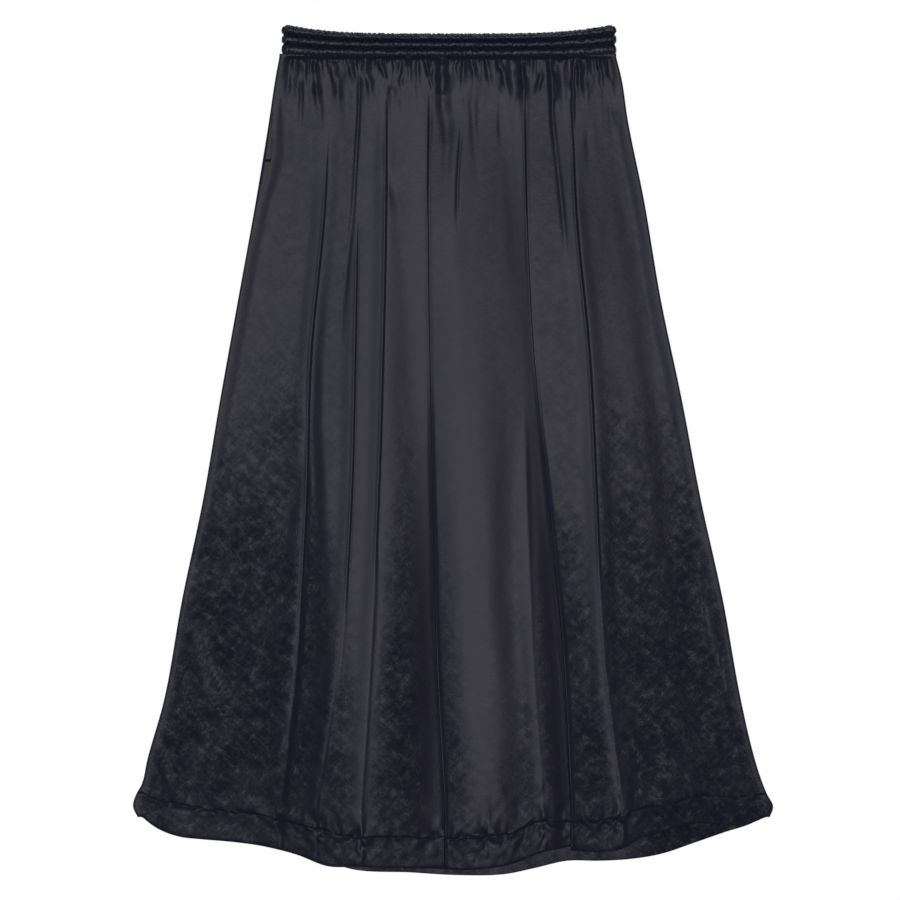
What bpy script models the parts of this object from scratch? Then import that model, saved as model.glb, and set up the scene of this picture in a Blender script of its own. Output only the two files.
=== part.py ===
# A gathered satin maxi skirt, laid flat on its back with the front face up.
# Metres, +Z up, the waist towards +Y. The origin lies under the middle of the outline, on the surface
# that the skirt rests on. The tables below are in millimetres: "drop" runs down from the highest point
# of the waistband, and "across" runs to the right of the middle line.

import bisect
import math
from collections import namedtuple

import bmesh
import bpy

MM = 0.001

# Overall size
LENGTH = 954.0          # highest point of the waistband to the lowest point of the back hem
BAND_MIDDLE = -5.0      # middle of the waistband, across
BAND_HALF_WIDTH = 186.5

# Cloth and seams
PANEL_WALL = 1.1        # one layer of cloth
HEM_WALL = 1.3          # cloth turned up and pressed
SEAM_GAP = 0.3
SIDE_GAP = 0.4          # along the rolled side seams
FRONT_LEVEL = 2.3       # middle of the front cloth where it lies flat on the back
LAYER_STEP = 1.6        # one layer to the next where the cloth laps over itself

# Side edges, where the cloth rolls from the back to the front
ROLL_CENTRE = 1.75
ROLL_EASE = 16.0        # the roll sinks to the flat front over this width
FRONT_ROLL_SHARES = (0.0, 0.1, 0.5, 1.0)
BACK_ROLL_STEPS = 6

# Pocket mouth in the wearer's right side seam, above its bar tack
MOUTH_GAP = 1.9
MOUTH_TOP = 100.0
MOUTH_FOOT = 153.0
TACK_ACROSS = -208.0
TACK_WIDTH = 6.4
TACK_DEPTH = 3.6
TACK_HEIGHT = 0.9

# Gathers under the waistband
GATHER_RISE = 1.1
GATHER_FADE = 34.0
WAIST_LEVEL = 3.4       # middle of the front cloth where it is sewn to the waistband
WAIST_EASE = 75.0

# Laps (knife folds)
BEND_STEPS = 4
SHORT_RUN = 0.8

# Waistband: three elastic channels
BAND_TOP = 11.0         # drop of the top edge in the middle
BAND_SEAM = 37.2        # drop of the skirt seam in the middle
BAND_TOP_LIFT = 11.0    # the edges climb towards the sides
BAND_SEAM_LIFT = 3.2
BAND_LIFT_POWER = 4
BAND_CORNER = 8.0
BAND_WALL = 2.2
BAND_HOLLOW = 0.3
FRONT_RUCHES = 54
BACK_COLUMNS = 30
END_STEPS = 5
RUCHE_DEPTH = 0.2       # share of the channel's thickness
RUCHE_SCALLOP = 0.6

# Rows of the cloth, drops
SEAM_DROP = 38.0
HEM_DROP = 878.0
GATHER_ROWS = (38, 43, 51, 64, 86)
LONG_ROWS = (112, 132, 153, 180, 215, 270, 350, 450, 560, 670, 780, 878)
BACK_ROWS = (38, 64, 112, 132, 153, 180, 215, 270, 350, 450, 560, 670, 780, 878)
HEM_ROWS = (0.0, 0.5, 1.0)
BACK_MIDDLE_STEPS = 22

Outline = namedtuple("Outline", "drop left right")
OUTLINE = (
    Outline(38, -195.1, 182.3),
    Outline(64, -199.9, 188.7),
    Outline(109, -206.6, 195.4),
    Outline(198, -221.2, 213.4),
    Outline(310, -241.4, 232.4),
    Outline(422, -261.5, 255.9),
    Outline(534, -280.6, 277.2),
    Outline(646, -304.1, 301.8),
    Outline(758, -324.2, 322.0),
    Outline(825, -343.0, 337.7),
    Outline(852, -349.0, 346.5),
    Outline(864, -355.5, 351.5),
    Outline(877, -359.0, 358.0),
    Outline(890, -353.4, 354.0),
)

# Where the side seam runs: how far past the very edge, along the cloth, towards the front
SideSeam = namedtuple("SideSeam", "drop left right")
SIDE_SEAMS = (
    SideSeam(38, 3.2, 0.0),
    SideSeam(100, 3.2, 0.0),
    SideSeam(118, 4.5, 0.0),
    SideSeam(140, 8.5, 0.0),
    SideSeam(172, 8.5, 0.0),
    SideSeam(200, 3.8, 0.0),
    SideSeam(230, 2.4, 0.0),
    SideSeam(262, 1.0, 0.0),
    SideSeam(300, 0.0, 0.0),
    SideSeam(340, 0.0, 0.0),
)

# The long folds of the front: where each runs across at the seam, hip, thigh, knee, calf and hem, how
# high its crest stands, how far it spreads left and right, between which drops it grows, how deep it
# laps over the cloth on its left, and how many gathers lie between it and the fold before it.
Fold = namedtuple("Fold", "name seam hip thigh knee calf hem rise left right start full lap gathers")
FOLDS = (
    Fold("left_crest", -138.3, -144.5, -160.2, -165.2, -175.8, -194.3, 2.1, 36, 18, 150, 400, 0, 5),
    Fold("left_ridge", -104.7, -107.4, -110.3, -114.8, -126.6, -151.2, 2.2, 22, 20, 40, 160, 0, 3),
    Fold("left_step", -75.6, -76.0, -79.2, -84.6, -93.0, -103.6, 2.6, 26, 7, 60, 200, 0, 3),
    Fold("left_lap", -27.4, -28.6, -26.7, -23.0, -18.7, -10.1, 0.0, 0, 38, 60, 330, 9, 4),
    Fold("middle_ridge", 9.5, 5.0, 11.8, 18.5, 23.0, 36.4, 2.2, 26, 30, 230, 400, 0, 3),
    Fold("thin_ridge", 52.1, 65.5, 77.5, 82.3, 88.7, 100.2, 1.7, 14, 10, 350, 480, 0, 4),
    Fold("right_lap", 79.0, 82.1, 90.2, 107.5, 123.2, 131.6, 0.0, 0, 26, 60, 380, 10, 2),
    Fold("right_step", 131.6, 136.6, 152.1, 160.7, 168.6, 189.3, 2.8, 40, 7, 60, 260, 0, 5),
    Fold("right_swell", 158.5, 177.5, 199.9, 220.1, 240.2, 267.1, 1.2, 30, 34, 110, 330, 0, 3),
)
FOLD_DROPS = (38, 206, 374, 542, 710, 878)
LAST_GATHERS = 2        # between the last fold and the right side

# The front hem in three runs, which the two laps part: its stitch line and its lower edge
Hem = namedtuple("Hem", "across stitch edge")
FRONT_HEM_RUNS = (
    (
        Hem(-354, 862, 889), Hem(-344, 866, 897), Hem(-332, 869, 904), Hem(-311, 874, 911),
        Hem(-284, 879, 914), Hem(-248, 883, 917), Hem(-212, 888, 922), Hem(-176, 897, 931),
        Hem(-141, 905, 944), Hem(-113, 912, 945), Hem(-82, 912, 946), Hem(-11, 912, 947),
    ),
    (
        Hem(-11, 914, 948), Hem(27, 912, 948), Hem(68, 906, 941), Hem(95, 895, 930),
        Hem(131, 895, 922),
    ),
    (
        Hem(135, 895, 927), Hem(162, 893, 928), Hem(190, 889, 924), Hem(208, 880, 913),
        Hem(242, 874, 903), Hem(269, 866, 896), Hem(296, 866, 897), Hem(329, 866, 898),
        Hem(354, 864, 889),
    ),
)
BACK_HEM = (
    Hem(-354, 862, 888), Hem(-332, 869, 901), Hem(-284, 877, 911), Hem(-212, 886, 919),
    Hem(-141, 906, 940), Hem(-113, 914, 948), Hem(-50, 917, 951), Hem(3, 920, 954),
    Hem(57, 919, 953), Hem(92, 912, 946), Hem(128, 904, 938), Hem(164, 904, 938),
    Hem(200, 902, 936), Hem(236, 896, 930), Hem(272, 884, 918), Hem(307, 873, 906),
    Hem(340, 866, 895), Hem(354, 864, 886),
)

# The waistband's section, from the seam up over the outside: share of the depth, and thickness
BandRow = namedtuple("BandRow", "climb thickness")
BAND_OUTSIDE = (
    BandRow(0.00, 1.5), BandRow(0.17, 3.3), BandRow(0.34, 2.1), BandRow(0.50, 3.4),
    BandRow(0.66, 2.1), BandRow(0.84, 3.3), BandRow(0.96, 2.4), BandRow(1.00, 1.1),
)
BAND_INSIDE = (BandRow(0.97, 0.0), BandRow(0.03, 0.0))

Cloth = namedtuple("Cloth", "color roughness")
CLOTHS = {
    "front_cloth": Cloth((0.040, 0.040, 0.054), 0.52),
    "back_cloth": Cloth((0.036, 0.036, 0.049), 0.54),
    "hem_cloth": Cloth((0.038, 0.039, 0.054), 0.50),
    "under_hem_cloth": Cloth((0.032, 0.032, 0.045), 0.54),
    "band_cloth": Cloth((0.042, 0.042, 0.056), 0.55),
    "tack_thread": Cloth((0.012, 0.012, 0.016), 0.60),
}

SMOOTH_ANGLE = math.radians(50)

# A column of the front cloth: the stretch it lies in, how far along it, its gather's number and the
# wave's height there, and whether it ends with the gathers
Column = namedtuple("Column", "kind place share gather wave short")


def smooth(share):
    share = min(max(share, 0.0), 1.0)
    return share * share * (3.0 - 2.0 * share)


def uneven(number, kind):
    """A repeatable value from -1 to 1 that differs from one number to the next."""
    value = math.sin(number * 12.9898 + kind * 78.233) * 43758.5453
    return 2.0 * (value - math.floor(value)) - 1.0


def curve(stations, values):
    """A smooth line through the values at the stations, level past its last one."""
    slopes = [(values[i + 1] - values[i]) / (stations[i + 1] - stations[i]) for i in range(len(values) - 1)]
    slopes = [slopes[0]] + [(a + b) / 2 for a, b in zip(slopes, slopes[1:])] + [slopes[-1]]

    def at(station):
        station = min(max(station, stations[0]), stations[-1])
        i = min(bisect.bisect_right(stations, station) - 1, len(stations) - 2)
        span = stations[i + 1] - stations[i]
        q = (station - stations[i]) / span
        start = values[i] * (1 + 2 * q) * (1 - q) ** 2 + slopes[i] * span * q * (1 - q) ** 2
        end = values[i + 1] * q * q * (3 - 2 * q) - slopes[i + 1] * span * q * q * (1 - q)
        return start + end

    return at


def table_curve(table, station, value):
    return curve([getattr(row, station) for row in table], [getattr(row, value) for row in table])


edge_at = {side: table_curve(OUTLINE, "drop", side) for side in ("left", "right")}
side_seam_at = {side: table_curve(SIDE_SEAMS, "drop", side) for side in ("left", "right")}
stitch_runs = [table_curve(run, "across", "stitch") for run in FRONT_HEM_RUNS]
edge_runs = [table_curve(run, "across", "edge") for run in FRONT_HEM_RUNS]
back_stitch_at = table_curve(BACK_HEM, "across", "stitch")
back_edge_at = table_curve(BACK_HEM, "across", "edge")
fold_lines = [curve(FOLD_DROPS, (f.seam, f.hip, f.thigh, f.knee, f.calf, f.hem)) for f in FOLDS]


def band_share(across):
    return min(abs(across - BAND_MIDDLE) / BAND_HALF_WIDTH, 1.0) ** BAND_LIFT_POWER


def band_seam_drop(across):
    return BAND_SEAM - BAND_SEAM_LIFT * band_share(across)


def band_top_drop(across):
    corner = max(BAND_CORNER - BAND_HALF_WIDTH + abs(across - BAND_MIDDLE), 0.0) / BAND_CORNER
    round_off = BAND_CORNER * (1.0 - math.sqrt(max(1.0 - corner * corner, 0.0)))
    return BAND_TOP - BAND_TOP_LIFT * band_share(across) + round_off


def side_point(side, drop, along, wall):
    """Across and height of the rolled side edge, at a distance along the cloth from its outermost line."""
    radius = ROLL_CENTRE - wall / 2
    quarter = radius * math.pi / 2
    angle = min(max(along, -quarter), quarter) / radius
    inward = wall / 2 + radius * (1 - math.cos(angle)) + max(abs(along) - quarter, 0.0)
    inward_sign = 1 if side == "left" else -1
    return edge_at[side](drop) + inward_sign * inward, ROLL_CENTRE + radius * math.sin(angle)


def seam_gap(side, drop):
    if side == "right":
        return SIDE_GAP
    share = (drop - MOUTH_TOP) / (MOUTH_FOOT - MOUTH_TOP)
    open_share = math.sin(math.pi * share) ** 0.5 if 0 < share < 1 else 0.0
    return SIDE_GAP + (MOUTH_GAP - SIDE_GAP) * open_share


def front_roll(side, drop, share, wall):
    """The front's part of the side roll: share 0 is at the seam, 1 where the cloth lies flat."""
    quarter = (ROLL_CENTRE - wall / 2) * math.pi / 2
    start = side_seam_at[side](drop) + seam_gap(side, drop) / 2
    end = max(quarter, start + 0.6)
    return side_point(side, drop, start + (end - start) * share, wall)


def lap_path(fold, drop):
    """Points (across, up) of the cloth as it bends back over itself and forward again, from its crease."""
    turn = math.pi * smooth((drop - fold.start) / (fold.full - fold.start))
    run = SHORT_RUN + (fold.lap - SHORT_RUN) * smooth((drop - fold.full) / (HEM_DROP - fold.full))
    step = LAYER_STEP * math.sin(math.pi / (2 * BEND_STEPS))
    headings = [turn * (i + 0.5) / BEND_STEPS for i in range(BEND_STEPS)]
    legs = [(step, h) for h in headings] + [(run, turn)] + [(step, h) for h in reversed(headings)]
    points = [(0.0, 0.0)]
    for length, heading in legs:
        across, up = points[-1]
        points.append((across + length * math.cos(heading), up + length * math.sin(heading)))
    crease = min(across for across, up in points[BEND_STEPS + 1:])
    return [(across - crease, up) for across, up in points]


def stretch_ends(place, drop, wall):
    """Across where the stretch of cloth before fold number `place` starts and ends."""
    if place == 0:
        start = front_roll("left", drop, 1.0, wall)[0]
    else:
        start = fold_lines[place - 1](drop)
        if FOLDS[place - 1].lap:
            start += lap_path(FOLDS[place - 1], drop)[-1][0]
    if place == len(FOLDS):
        end = front_roll("right", drop, 1.0, wall)[0]
    else:
        end = fold_lines[place](drop)
        if FOLDS[place].lap:
            end += lap_path(FOLDS[place], drop)[0][0]
    return start, end


def fold_height(across, drop, place):
    """How high the folds lift the cloth that lies in the stretch before fold number `place`."""
    height = 0.0
    for number, fold in enumerate(FOLDS):
        offset = across - fold_lines[number](drop)
        grown = smooth((drop - fold.start) / (fold.full - fold.start))
        if fold.lap:
            if place > number:
                path = lap_path(fold, drop)
                beyond = offset - path[0][0] - LAYER_STEP / 2
                height += path[-1][1] * (1.0 - smooth(beyond / fold.right))
        else:
            spread = fold.left if offset < 0 else fold.right
            if abs(offset) < spread:
                height += fold.rise * grown * (1 + math.cos(math.pi * offset / spread)) / 2
    return height


def front_height(across, drop, place, wall):
    """Height of the middle of the front cloth, without its gathers."""
    start = front_roll("left", drop, 1.0, wall)[0]
    end = front_roll("right", drop, 1.0, wall)[0]
    inside = smooth(min(across - start, end - across) / ROLL_EASE)
    waist = (WAIST_LEVEL - FRONT_LEVEL) * (1.0 - smooth((drop - SEAM_DROP) / WAIST_EASE))
    roll_top = ROLL_CENTRE + ROLL_CENTRE - wall / 2
    return roll_top + (FRONT_LEVEL + waist - roll_top) * inside + fold_height(across, drop, place) * inside


def front_columns():
    columns = [Column("left_roll", 0, share, 0, 0.0, False) for share in FRONT_ROLL_SHARES[:-1]]
    gather = 0
    for place, count in enumerate([fold.gathers for fold in FOLDS] + [LAST_GATHERS]):
        for step in range(4 * count):
            wave = math.sin(math.pi * step / 2 - math.pi / 2) if step else -1.0
            number = gather + step // 4
            columns.append(Column("stretch", place, step / (4 * count), number, wave, step % 2 == 1))
        gather += count
        if place < len(FOLDS) and FOLDS[place].lap:
            for step in range(2 * BEND_STEPS + 1):
                columns.append(Column("lap", place, step, gather, -1.0, False))
    for share in reversed(FRONT_ROLL_SHARES):
        columns.append(Column("right_roll", len(FOLDS), share, 0, 0.0, False))
    return columns


def front_point(column, drop, wall):
    """Across and height of the middle of the front cloth in one column at one drop."""
    if column.kind == "left_roll":
        return front_roll("left", drop, column.share, wall)
    if column.kind == "right_roll":
        return front_roll("right", drop, column.share, wall)
    if column.kind == "lap":
        path = lap_path(FOLDS[column.place], drop)
        crease = fold_lines[column.place](drop)
        foot = front_height(crease + path[0][0], drop, column.place, wall)
        across, up = path[column.share]
        return crease + across, foot + up
    start, end = stretch_ends(column.place, drop, wall)
    crowd = 0.11 * smooth((drop - GATHER_ROWS[-1]) / 120)
    share = column.share - crowd * math.sin(2 * math.pi * column.share)
    across = start + (end - start) * share
    fade = GATHER_FADE * (1 + 0.5 * uneven(column.gather, 1))
    rise = GATHER_RISE * (1 + 0.3 * uneven(column.gather, 2)) * math.exp((SEAM_DROP - drop) / fade)
    return across, front_height(across, drop, column.place, wall) + rise * column.wave


def hem_drop(column, runs, wall):
    """Drop at which a column of the front meets the stitch line or the lower edge of the hem."""
    across = front_point(column, HEM_DROP, wall)[0]
    laps = [number for number, fold in enumerate(FOLDS) if fold.lap]
    if column.kind == "lap":
        run = laps.index(column.place)
        share = column.share / (2 * BEND_STEPS + 1)
        crease = fold_lines[column.place](HEM_DROP)
        return runs[run](crease) * (1 - share) + runs[run + 1](crease) * share
    if column.kind == "left_roll":
        return runs[0](across)
    if column.kind == "right_roll":
        return runs[-1](across)
    return runs[sum(column.place > number for number in laps)](across)


def spot(across, drop, height):
    return across * MM, (LENGTH / 2 - drop) * MM, height * MM


def front_grid(wall, head, foot, shares, short_until):
    """Rows of points from each column's head to its foot; short columns stop after a number of rows."""
    columns = front_columns()
    grid = []
    for row, share in enumerate(shares):
        points = []
        for column in columns:
            if column.short and row > short_until:
                points.append(None)
                continue
            drop = head(column) * (1 - share) + foot(column) * share
            across, height = front_point(column, drop, wall)
            points.append(spot(across, drop, height))
        grid.append(points)
    return grid


def make_material(name):
    cloth = CLOTHS[name]
    material = bpy.data.materials.new(name)
    material.use_nodes = True
    shader = material.node_tree.nodes["Principled BSDF"]
    shader.inputs["Base Color"].default_value = (*cloth.color, 1.0)
    shader.inputs["Roughness"].default_value = cloth.roughness
    shader.inputs["Metallic"].default_value = 0.0
    return material


def link_mesh(name, builder, material):
    mesh = bpy.data.meshes.new(name)
    builder.to_mesh(mesh)
    builder.free()
    thing = bpy.data.objects.new(name, mesh)
    bpy.context.scene.collection.objects.link(thing)
    mesh.materials.append(make_material(material))
    mesh.shade_smooth()
    mesh.set_sharp_from_angle(angle=SMOOTH_ANGLE)
    return thing


def add_strip(builder, upper, lower):
    """Faces between two rows; where a short column ends, its point joins the wider spacing below."""
    k = 0
    while k < len(upper) - 1:
        if lower[k + 1] is not None:
            builder.faces.new((upper[k], lower[k], lower[k + 1], upper[k + 1]))
            k += 1
            continue
        if upper[k + 1] is None:
            builder.faces.new((upper[k], lower[k], lower[k + 2], upper[k + 2]))
        else:
            builder.faces.new((upper[k], lower[k], upper[k + 1]))
            builder.faces.new((upper[k + 1], lower[k], lower[k + 2]))
            builder.faces.new((upper[k + 1], lower[k + 2], upper[k + 2]))
        k += 2


def make_sheet(name, grid, wall, material):
    """A cloth piece: a grid of points along the middle of the cloth, given its thickness."""
    builder = bmesh.new()
    rows = [[point and builder.verts.new(point) for point in row] for row in grid]
    for upper, lower in zip(rows, rows[1:]):
        add_strip(builder, upper, lower)
    sheet = link_mesh(name, builder, material)
    solidify = sheet.modifiers.new("Cloth", "SOLIDIFY")
    solidify.thickness = wall * MM
    solidify.offset = 0.0
    solidify.use_even_offset = True
    return sheet


def make_front():
    rows = GATHER_ROWS + LONG_ROWS
    shares = [(drop - SEAM_DROP) / (HEM_DROP - SEAM_DROP) for drop in rows]

    def head(column):
        return band_seam_drop(front_point(column, SEAM_DROP, PANEL_WALL)[0]) + SEAM_GAP

    def stitch(column):
        return hem_drop(column, stitch_runs, PANEL_WALL) - SEAM_GAP / 2

    grid = front_grid(PANEL_WALL, head, stitch, shares, len(GATHER_ROWS) - 1)
    make_sheet("front_panel", grid, PANEL_WALL, "front_cloth")


def make_front_hem():
    def stitch(column):
        return hem_drop(column, stitch_runs, HEM_WALL) + SEAM_GAP / 2

    def edge(column):
        return hem_drop(column, edge_runs, HEM_WALL)

    grid = front_grid(HEM_WALL, stitch, edge, HEM_ROWS, -1)
    coarse = [[point for point in row if point is not None] for row in grid]
    make_sheet("front_hem", coarse, HEM_WALL, "hem_cloth")


def back_line(drop, wall):
    """Points (across, height) of the back cloth at one drop, from its left seam to its right seam."""
    quarter = (ROLL_CENTRE - wall / 2) * math.pi / 2

    def half(side):
        seam = side_seam_at[side](drop) - seam_gap(side, drop) / 2
        bend_end = min(quarter, seam - 0.6)
        bend = [bend_end + (-quarter - bend_end) * i / BACK_ROLL_STEPS for i in range(BACK_ROLL_STEPS + 1)]
        stations = [seam, (seam + bend_end) / 2] + bend
        return [side_point(side, drop, along, wall) for along in stations]

    left = half("left")
    right = half("right")[::-1]
    middle = []
    for step in range(1, BACK_MIDDLE_STEPS):
        share = step / BACK_MIDDLE_STEPS
        middle.append((left[-1][0] * (1 - share) + right[0][0] * share, wall / 2))
    return left + middle + right


def back_grid(wall, head, foot, shares):
    """Rows of points of the back, whose head and foot are drops that depend on the place across."""
    feet = [across for across, height in back_line(HEM_DROP, wall)]
    heads = [across for across, height in back_line(SEAM_DROP, wall)]
    grid = []
    for share in shares:
        points = []
        for k in range(len(feet)):
            drop = head(heads[k], feet[k]) * (1 - share) + foot(feet[k]) * share
            across, height = back_line(drop, wall)[k]
            points.append(spot(across, drop, height))
        grid.append(points)
    return grid


def make_back():
    shares = [(drop - SEAM_DROP) / (HEM_DROP - SEAM_DROP) for drop in BACK_ROWS]

    def head(head_across, foot_across):
        return band_seam_drop(head_across) + SEAM_GAP

    def stitch(across):
        return back_stitch_at(across) - SEAM_GAP / 2

    make_sheet("back_panel", back_grid(PANEL_WALL, head, stitch, shares), PANEL_WALL, "back_cloth")


def make_back_hem():
    def stitch(head_across, foot_across):
        return back_stitch_at(foot_across) + SEAM_GAP / 2

    make_sheet("back_hem", back_grid(HEM_WALL, stitch, back_edge_at, HEM_ROWS), HEM_WALL, "under_hem_cloth")


def band_columns():
    """The waistband's inner line as (across, height, outward across, outward up, ruche, underside)."""
    middle = BAND_WALL + BAND_HOLLOW / 2
    radius = BAND_HOLLOW / 2
    inset = BAND_WALL + radius
    left = BAND_MIDDLE - BAND_HALF_WIDTH + inset
    right = BAND_MIDDLE + BAND_HALF_WIDTH - inset
    columns = []
    count = 2 * FRONT_RUCHES
    for i in range(count + 1):
        shift = 0.22 * uneven(i, 3) if 0 < i < count else 0.0
        across = left + (right - left) * (i + shift) / count
        ruche = (1 if i % 2 else -1) * (1 + 0.45 * uneven(i, 4))
        columns.append((across, middle + radius, 0.0, 1.0, ruche, 0.0))
    for i in range(1, END_STEPS):
        angle = math.pi / 2 - math.pi * i / END_STEPS
        out = (math.cos(angle), math.sin(angle))
        columns.append((right + radius * out[0], middle + radius * out[1], *out, 0.0, max(-out[1], 0.0)))
    for i in range(BACK_COLUMNS + 1):
        columns.append((right + (left - right) * i / BACK_COLUMNS, middle - radius, 0.0, -1.0, 0.0, 1.0))
    for i in range(1, END_STEPS):
        angle = -math.pi / 2 - math.pi * i / END_STEPS
        out = (math.cos(angle), math.sin(angle))
        columns.append((left + radius * out[0], middle + radius * out[1], *out, 0.0, max(-out[1], 0.0)))
    return columns


def make_waistband():
    columns = band_columns()
    builder = bmesh.new()
    loops = []
    for row in BAND_OUTSIDE + BAND_INSIDE:
        loop = []
        for across, height, out_across, out_up, ruche, underside in columns:
            thickness = row.thickness * (1 + RUCHE_DEPTH * ruche)
            thickness += (min(row.thickness, BAND_WALL) - thickness) * min(underside * 1.5, 1.0)
            top = band_top_drop(across) - RUCHE_SCALLOP * ruche
            seam = band_seam_drop(across)
            drop = seam + (top - seam) * row.climb
            loop.append(builder.verts.new(
                spot(across + thickness * out_across, drop, height + thickness * out_up)))
        loops.append(loop)
    count = len(columns)
    for lower, upper in zip(loops, loops[1:] + loops[:1]):
        for k in range(count):
            after = (k + 1) % count
            builder.faces.new((lower[k], lower[after], upper[after], upper[k]))
    link_mesh("waistband", builder, "band_cloth")


def make_bar_tack():
    """The short dense row of stitches across the lower end of the pocket mouth."""
    top_of_cloth = ROLL_CENTRE + ROLL_CENTRE
    builder = bmesh.new()
    bmesh.ops.create_cube(builder, size=1.0)
    bmesh.ops.scale(builder, verts=builder.verts, vec=(TACK_WIDTH * MM, TACK_DEPTH * MM, TACK_HEIGHT * MM))
    middle = spot(TACK_ACROSS, MOUTH_FOOT + TACK_DEPTH / 4, top_of_cloth + SEAM_GAP + TACK_HEIGHT / 2)
    bmesh.ops.translate(builder, verts=builder.verts, vec=middle)
    tack = link_mesh("bar_tack", builder, "tack_thread")
    bevel = tack.modifiers.new("Round", "BEVEL")
    bevel.width = 0.35 * TACK_HEIGHT * MM
    bevel.segments = 2


def clear_scene():
    for thing in list(bpy.data.objects):
        bpy.data.objects.remove(thing, do_unlink=True)


clear_scene()
make_waistband()
make_front()
make_front_hem()
make_back()
make_back_hem()
make_bar_tack()
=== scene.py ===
# A gathered maxi skirt in washed satin, laid flat on its back on a pale floor and seen from straight above.
# Cloth sizes are in millimetres until a mesh is made: "across" runs to the right of the middle line, and
# "drop" runs down the cloth from the highest point of the waistband.

import math

import bpy
import numpy as np
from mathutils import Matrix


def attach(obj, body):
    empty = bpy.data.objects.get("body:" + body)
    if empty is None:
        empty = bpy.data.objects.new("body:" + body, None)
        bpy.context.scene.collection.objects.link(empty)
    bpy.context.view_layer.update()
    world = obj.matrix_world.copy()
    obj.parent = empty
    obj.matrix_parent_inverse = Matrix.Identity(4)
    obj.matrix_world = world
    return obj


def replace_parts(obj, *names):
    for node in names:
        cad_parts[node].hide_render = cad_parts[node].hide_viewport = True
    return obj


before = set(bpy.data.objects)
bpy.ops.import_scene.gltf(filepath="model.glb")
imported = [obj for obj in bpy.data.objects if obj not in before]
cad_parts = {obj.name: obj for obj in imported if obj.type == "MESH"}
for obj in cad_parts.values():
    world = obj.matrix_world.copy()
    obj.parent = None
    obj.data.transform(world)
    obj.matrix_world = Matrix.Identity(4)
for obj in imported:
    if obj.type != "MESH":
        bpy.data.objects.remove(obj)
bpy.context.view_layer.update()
mm = 0.001
body = "root"


# Camera, floor and light
studio = {
    "cameraHeight": 20.0,
    "viewWidth": 1.008,          # metres of floor across the picture
    "viewCentre": (-0.0039, -0.0011),
    "sensor": 36.0,
    "floorSize": 7.0,
    "floorColor": (0.92, 0.92, 0.92, 1.0),
    "floorGlow": 0.94,           # white acrylic, lit from below as well
    "sky": (0.80, 0.76, 1.0, 1.0),
    "skyStrength": 0.165,
    # place, size, power, colour: the large one hangs over the camera, the small ones tint the slopes
    "lights": {
        "topSoftbox": ((0.0, 0.10, 21.0), (2.4, 4.0), 76.0, (1.0, 0.97, 1.0)),
        "leftSoftbox": ((-1.9, 0.1, 5.7), (1.6, 3.2), 2.6, (0.45, 0.95, 1.0)),
        "rightSoftbox": ((2.1, 0.1, 5.6), (1.6, 3.2), 1.2, (0.90, 0.80, 1.0)),
    },
}


def deselectAll():
    for thing in list(bpy.context.selected_objects):
        thing.select_set(False)


def useAlone(thing):
    deselectAll()
    thing.select_set(True)
    bpy.context.view_layer.objects.active = thing


def buildStudio():
    x, y = studio["viewCentre"]
    lens = studio["sensor"] * studio["cameraHeight"] / studio["viewWidth"]
    bpy.ops.object.camera_add(location=(x, y, studio["cameraHeight"]), rotation=(0, 0, 0))
    camera = bpy.context.object
    camera.data.lens = lens
    camera.data.sensor_width = studio["sensor"]
    bpy.context.scene.camera = camera

    deselectAll()
    bpy.ops.mesh.primitive_plane_add(size=studio["floorSize"], location=(0, 0, 0))
    floor = bpy.context.object
    floor.name = "floor"
    floor.data.materials.append(floorMaterial())

    for name, (place, size, power, color) in studio["lights"].items():
        bpy.ops.object.light_add(type="AREA", location=place)
        lamp = bpy.context.object
        lamp.name = name
        lamp.data.shape = "RECTANGLE"
        lamp.data.size, lamp.data.size_y = size
        lamp.data.energy = power
        lamp.data.color = color
        toFloor = -lamp.location.normalized()
        lamp.rotation_euler = toFloor.to_track_quat("-Z", "Y").to_euler()

    world = bpy.data.worlds.new("studioSky")
    world.use_nodes = True
    world.node_tree.nodes["Background"].inputs["Color"].default_value = studio["sky"]
    world.node_tree.nodes["Background"].inputs["Strength"].default_value = studio["skyStrength"]
    bpy.context.scene.world = world
    bpy.context.scene.view_settings.view_transform = "Standard"
    print("studio ready, lens", round(lens, 1))


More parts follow.
